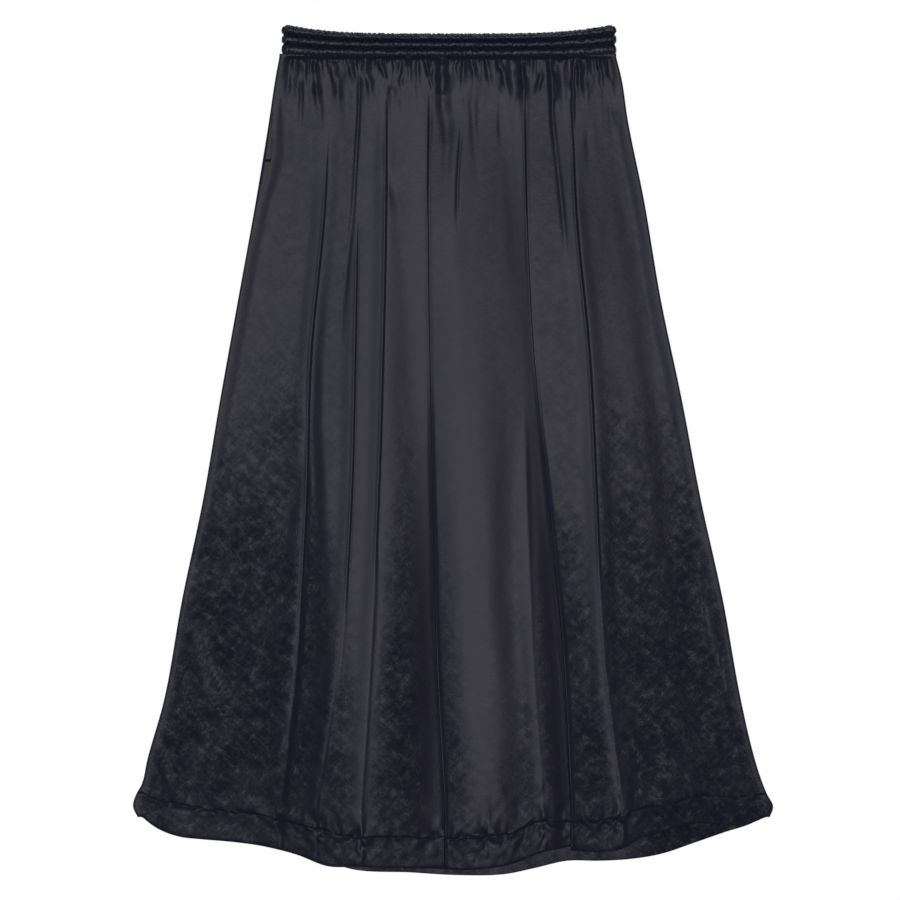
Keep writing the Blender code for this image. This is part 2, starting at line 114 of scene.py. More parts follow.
# A short way to place and join shader nodes
class NodeBoard:
    def __init__(self, name):
        self.material = bpy.data.materials.new(name)
        self.material.use_nodes = True
        self.tree = self.material.node_tree
        self.shader = self.tree.nodes["Principled BSDF"]

    def add(self, kind, **values):
        node = self.tree.nodes.new(kind)
        for key, value in values.items():
            if key in node.inputs:
                node.inputs[key].default_value = value
            else:
                setattr(node, key, value)
        return node

    def join(self, fromNode, output, toNode, name):
        self.tree.links.new(fromNode.outputs[output], toNode.inputs[name])

    def noise(self, source, output, size, detail=2.0, rough=0.5, stretch=(1, 1, 1), turn=0.0):
        # size in metres, stretch as shares of it, turn in degrees
        place = self.add("ShaderNodeMapping", vector_type="TEXTURE")
        place.inputs["Rotation"].default_value = (0, 0, math.radians(turn))
        place.inputs["Scale"].default_value = tuple(size * s for s in stretch)
        self.join(source, output, place, "Vector")
        field = self.add("ShaderNodeTexNoise", Scale=1.0, Detail=detail, Roughness=rough)
        self.join(place, "Vector", field, "Vector")
        return field

    def spread(self, field, output, low, high, toLow, toHigh):
        ramp = self.add("ShaderNodeMapRange")
        ramp.inputs["From Min"].default_value = low
        ramp.inputs["From Max"].default_value = high
        ramp.inputs["To Min"].default_value = toLow
        ramp.inputs["To Max"].default_value = toHigh
        self.join(field, output, ramp, "Value")
        return ramp

    def combine(self, operation, *parts):
        # parts: (node, output)
        result = self.add("ShaderNodeMath", operation=operation)
        for socket, (node, output) in enumerate(parts):
            self.join(node, output, result, socket)
        return result

    def sumOf(self, parts):
        # parts: (node, output, weight)
        total = None
        for node, output, weight in parts:
            scaled = self.combine("MULTIPLY", (node, output))
            scaled.inputs[1].default_value = weight
            total = scaled if total is None else self.combine("ADD", (total, 0), (scaled, 0))
        return total

    def emboss(self, node, output, strength, distance):
        # a height field as small relief on the surface, with distance in metres
        bump = self.add("ShaderNodeBump", Strength=strength, Distance=distance)
        self.join(node, output, bump, "Height")
        self.join(bump, "Normal", self.shader, "Normal")


def floorMaterial():
    board = NodeBoard("paleFloor")
    board.shader.inputs["Base Color"].default_value = studio["floorColor"]
    board.shader.inputs["Roughness"].default_value = 0.8
    board.shader.inputs["Specular IOR Level"].default_value = 0.1
    board.shader.inputs["Emission Color"].default_value = studio["floorColor"]
    board.shader.inputs["Emission Strength"].default_value = studio["floorGlow"]
    return board.material


satin = {
    "darkColor": (0.0150, 0.0155, 0.0440, 1.0),
    "lightColor": (0.0210, 0.0215, 0.0600, 1.0),
    "specular": 0.50,
    "roughLow": 0.200,
    "roughHigh": 0.225,
    "roughCrumple": 0.160,   # added where the wash has crumpled the cloth
    "roughMottle": 1.9,      # how unevenly it is added
    "hatchSize": 0.0075,
    "hatchStretch": 2.4,
    "hatchTurn": 44.0,
    "crumpleSize": 0.0120,
    "octaves": 3.2,
    "octaveShare": 0.78,     # of each finer octave against the one before
    "patchSize": 0.060,      # of the broad changes of tone and gloss
    "slubSize": 0.0013,
    "slubStretch": 6.0,
    "yarnSize": 0.0005,
    "hatchWeight": 0.26,
    "crumpleWeight": 0.34,
    "slubWeight": 0.036,
    "yarnWeight": 0.008,
    "height": 0.0010,        # metres that the whole height field spans
}


def satinMaterial(name, wear=1.0, paintedLightTone=1.0, crumple=1.0, paintedLightHue=(1.0, 1.0, 1.0)):
    # wear, tone and crumple scale the roughness, the colour and the relief; the colour's scale and tint are
    # painted light: a lighter, teal copy for the waistband's highlights and side light, darker copies as
    # painted shade on the back
    board = NodeBoard(name)
    uv = board.add("ShaderNodeUVMap", uv_map="cloth")
    wash = board.add("ShaderNodeAttribute", attribute_name="crumple")
    long = (satin["hatchStretch"], 1, 1)
    octaves, share = satin["octaves"], satin["octaveShare"]
    hatchA = board.noise(uv, "UV", satin["hatchSize"], octaves, share, long, satin["hatchTurn"])
    hatchB = board.noise(uv, "UV", satin["hatchSize"] * 1.2, octaves, share, long, -satin["hatchTurn"])
    crumpleField = board.noise(uv, "UV", satin["crumpleSize"], octaves, share)
    slub = board.noise(uv, "UV", satin["slubSize"], 1.0, 0.5, (satin["slubStretch"], 1, 1))
    yarn = board.noise(uv, "UV", satin["yarnSize"], 0.0, 0.5, (1, 6, 1))
    patch = board.noise(uv, "UV", satin["patchSize"], 2.0, 0.5)

    # the washed crumple is as strong as the cloth's own "crumple" attribute says
    coarse = board.sumOf([
        (hatchA, "Fac", satin["hatchWeight"]),
        (hatchB, "Fac", satin["hatchWeight"]),
        (crumpleField, "Fac", satin["crumpleWeight"]),
    ])
    washed = board.combine("MULTIPLY", (coarse, 0), (wash, "Fac"))
    fine = board.sumOf([(slub, "Fac", satin["slubWeight"]), (yarn, "Fac", satin["yarnWeight"])])
    board.emboss(board.combine("ADD", (washed, 0), (fine, 0)), 0, crumple, satin["height"])

    # the colour pair is scaled and tinted here as painted light for the waistband and painted shade for the
    # back
    shade = board.add("ShaderNodeMix", data_type="RGBA")
    for socket, color in (("A", satin["darkColor"]), ("B", satin["lightColor"])):
        shade.inputs[socket].default_value = tuple(c * h * paintedLightTone for c, h in zip(color, paintedLightHue)) + (1.0,)
    tint = board.sumOf([(patch, "Fac", 0.6), (hatchA, "Fac", 0.2), (slub, "Fac", 0.2)])
    tintShare = board.spread(tint, 0, 0.35, 0.65, 0.0, 1.0)
    board.join(tintShare, "Result", shade, "Factor")
    board.join(shade, "Result", board.shader, "Base Color")

    gloss = board.sumOf([(patch, "Fac", 0.4), (slub, "Fac", 0.6)])
    plain = board.spread(gloss, 0, 0.3, 0.7, satin["roughLow"] * wear, satin["roughHigh"] * wear)
    mottle = board.sumOf([(hatchA, "Fac", 0.36), (hatchB, "Fac", 0.36), (crumpleField, "Fac", 0.28)])
    half = 0.08 * satin["roughMottle"]
    dull = board.spread(mottle, 0, 0.42, 0.58, satin["roughCrumple"] - half, satin["roughCrumple"] + half)
    added = board.combine("MULTIPLY", (dull, "Result"), (wash, "Fac"))
    roughness = board.sumOf([(plain, "Result", 1.0), (added, 0, 1.0)])
    board.join(roughness, 0, board.shader, "Roughness")
    board.shader.inputs["Specular IOR Level"].default_value = satin["specular"]
    return board.material


thread = {
    "color": (0.006, 0.006, 0.010, 1.0), "lightShare": 2.2, "roughness": 0.55,
    "twistSize": 0.0006, "twistTurn": 30.0, "twistDepth": 0.0001,
}


def threadMaterial():
    board = NodeBoard("sewingThread")
    place = board.add("ShaderNodeTexCoord")
    twist = board.noise(place, "Object", thread["twistSize"], 1.0, 0.5, (1, 3, 1), thread["twistTurn"])
    shade = board.add("ShaderNodeMix", data_type="RGBA")
    shade.inputs["A"].default_value = thread["color"]
    shade.inputs["B"].default_value = tuple(c * thread["lightShare"] for c in thread["color"][:3]) + (1.0,)
    board.join(twist, "Fac", shade, "Factor")
    board.join(shade, "Result", board.shader, "Base Color")
    board.emboss(twist, "Fac", 0.4, thread["twistDepth"])
    board.shader.inputs["Roughness"].default_value = thread["roughness"]
    return board.material


def smooth(share):
    share = np.clip(share, 0.0, 1.0)
    return share * share * (3.0 - 2.0 * share)


def past(place, start, over):
    # 0 up to the start and 1 beyond it, eased over a length
    return smooth((place - start) / over)


def between(share, span, values, slopes):
    # the cubic from one value and slope to the next, at a share of the span between them
    left = 1 - share
    start = values[0] * (1 + 2 * share) * left ** 2 + slopes[0] * span * share * left ** 2
    end = values[1] * share * share * (3 - 2 * share) - slopes[1] * span * share * share * left
    return start + end


def curve(stations, values):
    # a smooth line through the values, level past its ends
    stations = np.array(stations, float)
    values = np.array(values, float)
    steps = np.diff(values) / np.diff(stations)
    slopes = np.concatenate(([steps[0]], (steps[1:] + steps[:-1]) / 2, [steps[-1]]))

    def at(station):
        station = np.clip(station, stations[0], stations[-1])
        i = np.clip(np.searchsorted(stations, station, side="right") - 1, 0, len(stations) - 2)
        span = stations[i + 1] - stations[i]
        share = (station - stations[i]) / span
        return between(share, span, (values[i], values[i + 1]), (slopes[i], slopes[i + 1]))

    return at


def columnsOf(table, *names):
    # one smooth line for each named value of a table whose first value is the station
    stations = [row[0] for row in table]
    return {name: curve(stations, [row[k + 1] for row in table]) for k, name in enumerate(names)}


def cloud(x, y, seed):
    # soft random field, one cell per unit, about -1 to 1
    x0, y0 = np.floor(x), np.floor(y)
    fx, fy = x - x0, y - y0
    wx, wy = fx * fx * fx * (fx * (fx * 6 - 15) + 10), fy * fy * fy * (fy * (fy * 6 - 15) + 10)

    def corner(i, j):
        turn = np.sin((x0 + i) * 127.1 + (y0 + j) * 311.7 + seed * 74.7) * 43758.5453
        turn = 2 * math.pi * (turn - np.floor(turn))
        return np.cos(turn) * (fx - i) + np.sin(turn) * (fy - j)

    top = corner(0, 0) * (1 - wx) + corner(1, 0) * wx
    bottom = corner(0, 1) * (1 - wx) + corner(1, 1) * wx
    return 1.5 * (top * (1 - wy) + bottom * wy)


def streaks(x, y, turn, long, wide, seed):
    # a cloud drawn out along one direction, in millimetres and degrees
    c, s = math.cos(math.radians(turn)), math.sin(math.radians(turn))
    return cloud((x * c + y * s) / long, (-x * s + y * c) / wide, seed)


def bell(offset, width):
    return np.exp(-(offset / width) ** 2)


# The skirt's form and its levels above the floor
cut = {
    "length": 954.0,
    "bandMiddle": -5.0,
    "bandHalfWidth": 186.5,
    "bandTop": 11.0,
    "bandSeam": 37.2,
    "bandTopLift": 11.0,
    "bandSeamLift": 3.2,
    "bandLiftPower": 4,
    "bandCorner": 8.0,
    "seamDrop": 38.0,
    "hemDrop": 878.0,
    "wall": 0.6,
    "sideGap": 0.12,
    "seamMargin": 0.6,           # the rolled edge runs at least this far past its seam
    "rollCentre": 1.75,
    "rollEase": 16.0,
    "edgeStrip": 3.2,            # level strip beside the roll, then where it starts and ends, and over what
    "stripStart": (560, 80),
    "stripEnd": (845, 40),
    "frontLevel": 2.55,
    "waistLevel": 3.65,
    "waistEase": 75.0,
    "layerStep": 0.9,            # from layer to layer in a lap of one cloth
    "hemLayerStep": 1.4,         # and of the double hem, eased in above it
    "hemLayerEase": (790.0, 865.0),
    "bendSteps": 8,
    "runSteps": 3,
    "shortRun": 0.3,
    "mouthGap": 1.9,
    "mouthTop": 100.0,
    "mouthFoot": 153.0,
}

# drop, left, right
outline = columnsOf((
    (38, -195.1, 182.3), (64, -199.9, 188.7), (109, -206.6, 195.4), (198, -221.2, 213.4),
    (310, -241.4, 232.4), (422, -261.5, 255.9), (534, -280.6, 277.2), (646, -304.1, 301.8),
    (758, -324.2, 322.0), (825, -343.0, 337.7), (852, -349.0, 346.5), (864, -355.5, 351.5),
    (877, -359.0, 358.0), (890, -353.4, 354.0),
), "left", "right")

# drop, how far the side seam lies past the very edge, along the cloth, towards the front
sideSeam = columnsOf((
    (38, 3.2, 0.0), (100, 3.2, 0.0), (118, 4.5, 0.0), (140, 8.5, 0.0), (172, 8.5, 0.0),
    (200, 3.8, 0.0), (230, 2.4, 0.0), (262, 1.0, 0.0), (300, 0.0, 0.0), (340, 0.0, 0.0),
), "left", "right")

# The long folds: where each runs across at six drops, how deep it laps and the drops between which it
# turns over, and the height of a sharp edge, the drop where it starts and the one where it turns blunt
foldDrops = (38, 206, 374, 542, 710, 878)
foldTable = {
    "leftCrest": ((-138.3, -144.5, -160.2, -165.2, -175.8, -194.3), 0, 0, 0, 0.30, 120, 655),
    "leftRidge": ((-104.7, -107.4, -110.3, -114.8, -126.6, -151.2), 0, 0, 0, 0.32, 200, 640),
    "leftStep": ((-75.6, -76.0, -79.2, -84.6, -93.0, -103.6), 0, 0, 0, 0.34, 70, 600),
    "leftLap": ((-27.4, -28.6, -26.7, -23.0, -18.7, -10.1), 9, 60, 330, 0.0, 0, 0),
    "middleRidge": ((9.5, 5.0, 11.8, 18.5, 23.0, 36.4), 0, 0, 0, 0.0, 0, 0),
    "thinRidge": ((52.1, 65.5, 77.5, 82.3, 88.7, 100.2), 0, 0, 0, 0.22, 420, 440),
    "rightLap": ((79.0, 82.1, 90.2, 107.5, 123.2, 131.6), 10, 60, 380, 0.0, 0, 0),
    "rightStep": ((131.6, 136.6, 152.1, 160.7, 168.6, 189.3), 0, 0, 0, 0.45, 90, 610),
    "rightSwell": ((158.5, 177.5, 199.9, 220.1, 240.2, 267.1), 0, 0, 0, 0.0, 0, 0),
}
folds = []
for line, lap, start, full, edge, edgeDrop, bluntDrop in foldTable.values():
    folds.append({"at": curve(foldDrops, line), "lap": lap, "start": start, "full": full,
                  "edge": edge, "edgeDrop": edgeDrop, "bluntDrop": bluntDrop})
laps = [number for number, fold in enumerate(folds) if fold["lap"]]

# The broad swells of the front, as lines down the cloth: which of the three stretches between the laps,
# the line it follows, the share of the lap's rise it keeps, then its distance from that line and its
# height at the drops named
swellDrops = (42, 200, 310, 420, 535, 645, 758, 848, 935)
swellTable = {
    "leftSide": (0, "leftEdge", 0, 21, 0),
    "crestFoot": (0, "leftCrest", 0, (-30, -34, -30, -26, -30, -40, -44, -46, -52),
                  (0, 0, 0, 0, -0.1, -0.2, -0.3, -0.3, -0.2)),
    "crest": (0, "leftCrest", 0, 0, (0.1, 0.1, 0.2, 0.35, 0.7, 0.9, 1.0, 0.9, 0.5)),
    "crestValley": (0, "leftCrest", 0, (4, 4, 3, 4, 6, 8, 10, 11, 12),
                    (0, 0, 0, 0.05, 0, -0.25, -0.45, -0.45, -0.3)),
    "ramp": (0, "leftCrest", 0, (16, 16, 16, 16, 24, 38, 48, 52, 54),
             (0.1, 0.2, 0.4, 0.8, 1.25, 1.8, 2.15, 2.2, 1.9)),
    "stepTop": (0, "leftStep", 0, 0, (0.2, 0.4, 0.75, 1.15, 1.55, 2.1, 2.7, 3.1, 2.7)),
    "stepEase": (0, "leftStep", 0, (3, 3, 3, 5, 8, 15, 13, 8, 6),
                 (0.15, 0.35, 0.7, 1.1, 1.5, 2.05, 2.6, 2.95, 2.6)),
    "stepFoot": (0, "leftStep", 0, (13, 16, 28, 35, 39, 42, 46, 48, 50),
                 (0, 0, 0, 0.05, 0.4, 1.0, 1.6, 1.7, 1.4)),
    "leftFoot": (0, "leftLap", 0, -2, (0, 0, -0.1, -0.2, -0.4, -0.6, -0.7, -0.7, -0.5)),
    "ridgeFoot": (1, "leftLap", 1, 0, (0, 0, -0.1, -0.2, -0.4, -0.6, -0.7, -0.7, -0.5)),
    "ridgeLeft": (1, "middleRidge", 1, (-8, -8, -8, -8, -8, -6, -6, -3, -4),
                  (0, 0, 0.1, 0.2, 0.3, 0.5, 0.5, 0.5, 0.3)),
    "ridgeRight": (1, "middleRidge", 0.85, (10, 10, 10, 12, 14, 16, 20, 14, 12),
                   (0, 0, 0.1, 0.3, 0.5, 0.75, 0.75, 0.7, 0.4)),
    "thinFoot": (1, "thinRidge", 0.42, (-12, -12, -12, -12, -14, -16, -14, -18, -20),
                 (0, 0, 0, 0, 0.1, 0.4, 0.5, 0.4, 0.2)),
    "thinTop": (1, "thinRidge", 0.22, 0, (0, 0, 0, 0.1, 0.3, 0.8, 1.1, 1.1, 0.8)),
    "rightFoot": (1, "rightLap", 0, -2, (0, 0, 0, 0, -0.3, -0.5, -0.5, -0.5, -0.4)),
    "stepRise": (2, "rightLap", 1, 0, (0, 0, 0, 0, -0.3, -0.5, -0.5, -0.5, -0.4)),
    "rightTop": (2, "rightStep", 0.85, 0, (0, 0, 0, 0.1, 0.6, 1.2, 1.3, 1.2, 0.7)),
    "rightDrop": (2, "rightStep", 0.62, (11, 13, 16, 18, 20, 20, 22, 22, 22),
                  (0, 0, -0.1, -0.1, 0, 0.6, 0.7, 0.6, 0.3)),
    "swell": (2, "rightSwell", 0.28, 0, (0, 0, 0.1, 0.15, 0.3, 0.4, 0.4, 0.3, 0.2)),
    "sideValley": (2, "rightSwell", 0.08, (8, 12, 25, 25, 26, 26, 26, 26, 26),
                   (0, 0, -0.1, -0.2, -0.3, -0.4, -0.3, -0.3, -0.2)),
    "rightSide": (2, "rightSwell", 0, (17, 23, 39, 39, 40, 40, 42, 42, 42), 0),
}
swells = [[], [], []]
lineNamed = {name: fold["at"] for name, fold in zip(foldTable, folds)}
lineNamed.update(leftEdge=outline["left"], rightEdge=outline["right"])
for stretch, follows, kept, distance, rise in swellTable.values():
    swells[stretch].append({
        "follows": lineNamed[follows], "kept": kept,
        "distance": curve(swellDrops, np.broadcast_to(distance, len(swellDrops))),
        "rise": curve(swellDrops, np.broadcast_to(rise, len(swellDrops)))})

# The hem in three runs, which the two laps part: across, stitch line, lower edge
frontHemRuns = [columnsOf(run, "stitch", "edge") for run in (
    ((-354, 862, 889), (-344, 866, 897), (-332, 869, 904), (-311, 874, 911), (-284, 879, 914),
     (-248, 883, 917), (-212, 888, 922), (-176, 897, 931), (-141, 905, 944), (-113, 912, 945),
     (-82, 912, 946), (-11, 912, 947)),
    ((-11, 914, 948), (27, 912, 948), (68, 906, 941), (95, 895, 930), (131, 895, 922)),
    ((135, 895, 927), (162, 893, 928), (190, 889, 924), (208, 880, 913), (242, 874, 903),
     (269, 866, 896), (296, 866, 897), (329, 866, 898), (354, 864, 889)),
)]
backHem = columnsOf((
    (-354, 862, 888), (-332, 869, 901), (-284, 877, 911), (-212, 886, 919), (-141, 906, 940),
    (-113, 914, 948), (-50, 917, 951), (3, 920, 954), (57, 919, 953), (92, 912, 946),
    (128, 904, 938), (164, 904, 938), (200, 902, 936), (236, 896, 930), (272, 884, 918),
    (307, 873, 906), (340, 866, 895), (354, 864, 886),
), "stitch", "edge")


def bandShare(across):
    reach = np.minimum(np.abs(across - cut["bandMiddle"]) / cut["bandHalfWidth"], 1.0)
    return reach ** cut["bandLiftPower"]


def bandSeamDrop(across):
    return cut["bandSeam"] - cut["bandSeamLift"] * bandShare(across)


def bandTopDrop(across):
    intoCorner = np.abs(across - cut["bandMiddle"]) - cut["bandHalfWidth"] + cut["bandCorner"]
    corner = np.clip(intoCorner / cut["bandCorner"], 0.0, 1.0)
    roundOff = cut["bandCorner"] * (1.0 - np.sqrt(1.0 - corner * corner))
    return cut["bandTop"] - cut["bandTopLift"] * bandShare(across) + roundOff


def sidePoint(side, drop, along, wall):
    # across and height of the rolled side edge, at a distance along the cloth from its outermost line
    radius = cut["rollCentre"] - wall / 2
    quarter = radius * math.pi / 2
    angle = np.clip(along, -quarter, quarter) / radius
    inward = wall / 2 + radius * (1 - np.cos(angle)) + np.maximum(np.abs(along) - quarter, 0.0)
    sign = 1 if side == "left" else -1
    return outline[side](drop) + sign * inward, cut["rollCentre"] + radius * np.sin(angle)


def seamGapAt(side, drop):
    if side == "right":
        return cut["sideGap"] + 0 * drop
    share = (drop - cut["mouthTop"]) / (cut["mouthFoot"] - cut["mouthTop"])
    openShare = np.sqrt(np.sin(math.pi * np.clip(share, 0.0, 1.0)).clip(0.0))
    return cut["sideGap"] + (cut["mouthGap"] - cut["sideGap"]) * openShare


def frontRoll(side, drop, share, wall):
    quarter = (cut["rollCentre"] - wall / 2) * math.pi / 2
    start = sideSeam[side](drop) + seamGapAt(side, drop) / 2
    end = np.maximum(quarter, start + cut["seamMargin"])
    return sidePoint(side, drop, start + (end - start) * share, wall)


def layerStepAt(drop):
    start, stop = cut["hemLayerEase"]
    return cut["layerStep"] + (cut["hemLayerStep"] - cut["layerStep"]) * past(drop, start, stop - start)


def lapPath(fold, drop):
    # points of the cloth as it bends back over itself and forward again, from its crease
    turn = math.pi * past(drop, fold["start"], fold["full"] - fold["start"])
    grown = past(drop, fold["full"], cut["hemDrop"] - fold["full"])
    run = cut["shortRun"] + (fold["lap"] - cut["shortRun"]) * grown
    bends = cut["bendSteps"]
    step = layerStepAt(drop) * math.sin(math.pi / (2 * bends))
    headings = [turn * (i + 0.5) / bends for i in range(bends)]
    legs = [(step, h) for h in headings]
    legs += [(run / cut["runSteps"], turn)] * cut["runSteps"]
    legs += [(step, h) for h in reversed(headings)]
    across = [np.zeros_like(turn)]
    up = [np.zeros_like(turn)]
    for reach, heading in legs:
        across.append(across[-1] + reach * np.cos(heading))
        up.append(up[-1] + reach * np.sin(heading))
    across, up = np.array(across), np.array(up)
    return across - across[bends + 1:].min(axis=0), up


def stretchEnds(place, drop, wall):
    if place == 0:
        start = frontRoll("left", drop, 1.0, wall)[0]
    else:
        start = folds[place - 1]["at"](drop)
        if folds[place - 1]["lap"]:
            start = start + lapPath(folds[place - 1], drop)[0][-1]
    if place == len(folds):
        end = frontRoll("right", drop, 1.0, wall)[0]
    else:
        end = folds[place]["at"](drop)
        if folds[place]["lap"]:
            end = end + lapPath(folds[place], drop)[0][0]
    return start, end


crease = {
    "width": 1.4, "bluntWidth": 6.0,        # over which a sharp and a blunt edge fall
    "reach": 17.0,                          # over which the cloth rises to it
    "ease": 90,                             # drop over which an edge grows sharp or turns blunt
    "groove": 0.26, "grooveWidth": 0.7,
    "groovePlace": 1.1,                     # in widths of the sharp edge
    "lip": 0.30, "lipWidth": 1.0,
    "lipLoss": 0.85,                        # share of the lip that a blunt edge loses
    "lapDip": 0.35, "lapDipReach": 3.6,     # the cloth presses in along a lap
    "lapDipEase": 60,
    "lapDipFirst": 0.25, "lapDipGrowth": (360, 200),    # its share at first, and where the rest comes
}


def swellHeight(across, drop, stretch, rise):
    # a smooth line through the swells of one stretch, level past its ends
    lines = swells[stretch]
    at = [line["follows"](drop) + line["distance"](drop) for line in lines]
    up = [line["rise"](drop) + line["kept"] * rise for line in lines]
    ways = [(up[k + 1] - up[k]) / (at[k + 1] - at[k]) for k in range(len(lines) - 1)]
    slopes = [ways[0]]
    for before, after in zip(ways[:-1], ways[1:]):
        both = np.where(before * after > 0, before + after, 1.0)
        slopes.append(np.where(before * after > 0, 2 * before * after / both, 0.0))
    slopes.append(ways[-1])
    height = up[0] + 0 * across
    for k in range(len(ways)):
        span = at[k + 1] - at[k]
        share = np.clip((across - at[k]) / span, 0.0, 1.0)
        height = np.where(across > at[k], between(share, span, up[k:k + 2], slopes[k:k + 2]), height)
    return height


def foldHeight(across, drop, place):
    stretch = sum(place > n for n in laps)
    rise = lapPath(folds[laps[stretch - 1]], drop)[1][-1] if stretch else 0 * drop
    height = swellHeight(across, drop, stretch, rise)
    first = crease["lapDipFirst"]
    deepened = first + (1 - first) * past(drop, *crease["lapDipGrowth"])
    for number, fold in enumerate(folds):
        offset = across - fold["at"](drop)
        grown = past(drop, fold["start"], crease["lapDipEase"]) * deepened
        if number == place and fold["lap"]:
            height = height - crease["lapDip"] * grown * smooth(1 + offset / crease["lapDipReach"])
        if number == place - 1 and fold["lap"]:
            beyond = offset - lapPath(fold, drop)[0][-1]
            height = height - crease["lapDip"] * grown * (1 - smooth(beyond / crease["lapDipReach"]))
        if fold["edge"]:
            blunt = past(drop, fold["bluntDrop"] - crease["ease"] / 2, crease["ease"])
            width = crease["width"] + (crease["bluntWidth"] - crease["width"]) * blunt
            shoulder = np.where(offset < 0, smooth(1 + offset / crease["reach"]), 1 - smooth(offset / width))
            grooveMiddle = crease["width"] * crease["groovePlace"]
            groove = crease["groove"] * (1 - blunt) * bell(offset - grooveMiddle, crease["grooveWidth"])
            lipShare = 1 - crease["lipLoss"] * blunt
            lip = crease["lip"] * lipShare * bell(offset + crease["lipWidth"], crease["lipWidth"])
            sharpened = past(drop, fold["edgeDrop"], crease["ease"])
            height = height + fold["edge"] * sharpened * (shoulder + lip - groove)
    return height


def insideShare(across, drop, wall):
    # 0 on the rolled edges and on the level strip beside them, 1 further in
    start = frontRoll("left", drop, 1.0, wall)[0]
    end = frontRoll("right", drop, 1.0, wall)[0]
    strip = cut["edgeStrip"] * past(drop, *cut["stripStart"]) * (1 - past(drop, *cut["stripEnd"]))
    return past(np.minimum(across - start, end - across), strip, cut["rollEase"])


def frontHeight(across, drop, place, wall, flatLevel):
    inside = insideShare(across, drop, wall)
    fade = 1.0 - past(drop, cut["seamDrop"], cut["waistEase"])
    level = flatLevel + (cut["waistLevel"] - cut["frontLevel"]) * fade
    rollTop = 2 * cut["rollCentre"] - wall / 2
    return rollTop + (level - rollTop) * inside + foldHeight(across, drop, place) * inside


# Gathers under the waistband: across and drop where each trough starts and ends, half width, depth
gatherTable = (
    (-193.2, 40, -192.4, 97, 5.0, 1.2), (-176.4, 38, -177.5, 78, 6.0, 1.0),
    (-170.8, 70, -170.8, 114, 2.0, 0.5), (-162.5, 44, -162.5, 67, 1.8, 0.7),
    (-156.0, 46, -148.0, 110, 3.8, 1.4), (-139.5, 39, -133.8, 66, 3.0, 1.0),
    (-131.0, 48, -126.3, 116, 5.5, 0.8), (-116.5, 44, -108.5, 76, 3.0, 1.0),
    (-102.5, 38, -91.3, 83, 4.2, 1.5),
    (-82.5, 42, -74.5, 66, 2.6, 1.0), (-70.0, 76, -73.4, 132, 5.5, 0.5), (-57.7, 55, -59.4, 74, 2.4, 0.8),
    (-50.0, 39, -47.6, 67, 3.6, 1.2), (-62.0, 90, -55.4, 106, 2.0, 0.4), (-31.6, 40, -24.6, 73, 2.4, 1.1),
    (-15.0, 38, -9.0, 118, 7.2, 1.7), (-5.0, 108, -9.5, 190, 6.0, 0.5), (4.0, 48, 7.3, 67, 2.2, 0.8),
    (18.5, 39, 23.5, 61, 2.2, 1.2), (20.7, 84, 26.3, 174, 5.0, 0.5), (37.5, 39, 42.0, 72, 3.4, 1.1),
    (51.5, 39, 60.0, 78, 4.6, 1.4), (52.0, 100, 53.0, 140, 1.6, 0.35), (76.2, 38, 80.0, 100, 3.6, 1.7),
    (88.0, 39, 86.8, 58, 2.4, 0.8), (99.0, 60, 91.3, 80, 3.0, 0.9), (108.6, 39, 112.2, 122, 2.4, 1.1),
    (113.7, 62, 117.0, 110, 4.4, 0.8), (134.4, 37, 133.3, 132, 1.8, 0.9), (139.4, 42, 142.2, 82, 4.0, 1.4),
    (153.4, 36, 155.0, 58, 2.8, 1.1), (161.8, 37, 166.9, 76, 2.6, 1.0), (174.0, 46, 176.4, 65, 2.6, 0.7),
    (180.0, 38, 185.4, 72, 2.4, 0.8),
)
gatherRidges = (
    (-184.8, 32, -185.6, 88, 1.6, 0.5), (-166.5, 44, -165.0, 74, 3.0, 0.4), (-21.0, 40, -21.5, 92, 2.6, 0.5),
    (11.0, 42, 12.0, 76, 3.6, 0.4), (66.0, 42, 68.0, 96, 4.0, 0.5), (120.0, 44, 124.0, 92, 4.0, 0.4),
    (147.0, 40, 149.0, 96, 4.0, 0.5), (-93.0, 44, -84.0, 70, 3.4, 0.4), (-40.0, 42, -38.0, 84, 4.0, 0.4),
)

# Long soft troughs (depth above 0) and ridges (below 0): points (drop, across), half width, depth
softLines = {
    "leftSide": (((391, -165), (479, -166), (552, -185), (633, -198), (738, -219)), 6.5, 0.35),
    "leftUpper": (((44, -105.8), (91, -105.8), (153, -109.2), (209, -112.6), (263, -118.2), (326, -124.9)),
                  1.7, 0.60),
    "leftPatch": (((168, -75), (184, -69), (202, -63)), 5.5, 0.55),
    "centreUpper": (((122, 8.4), (172, 5.0), (216, 3.9)), 1.8, 0.40),
    "rightUpper": (((50, 109), (100, 110.3), (147, 115.2), (191, 120), (239, 124.7)), 1.8, 0.75),
    "rightSpot": (((126, 150), (140, 151), (154, 152)), 3.6, 0.35),
    "rightSpotTwo": (((94, 176), (104, 176.5), (112, 176)), 2.8, 0.35),
    "lowLeft": (((640, -232), (720, -246), (800, -262)), 12.0, 0.4),
}

# Curved drag creases near the two side edges, where the cloth was pulled: rows as above
dragLines = (
    (((676, -290), (712, -281), (744, -274)), 3.6, -0.50),
    (((680, -277), (722, -270), (738, -264), (752, -256)), 3.4, -0.50),
    (((714, -271), (741, -258), (766, -243)), 3.4, -0.45),
    (((732, -301), (760, -296), (775, -286), (790, -274)), 3.6, -0.50),
    (((742, -280), (768, -262), (784, -246)), 3.6, -0.50),
    (((700, -293), (724, -290), (752, -284)), 2.2, 0.55),
    (((706, -274), (726, -266), (738, -259)), 2.6, 0.60),
    (((740, -306), (762, -300), (778, -291)), 2.8, 0.65),
    (((765, -268), (776, -261), (790, -250)), 4.5, 0.55),
    (((800, -330), (826, -322), (850, -314)), 3.6, -0.60),
    (((806, -318), (830, -308), (852, -296)), 3.4, 0.60),
    (((700, 292), (722, 300), (745, 306)), 3.6, -0.45),
    (((640, 274), (662, 284), (690, 290)), 3.6, -0.40),
    (((760, 300), (790, 312), (812, 322)), 3.8, 0.50),
)

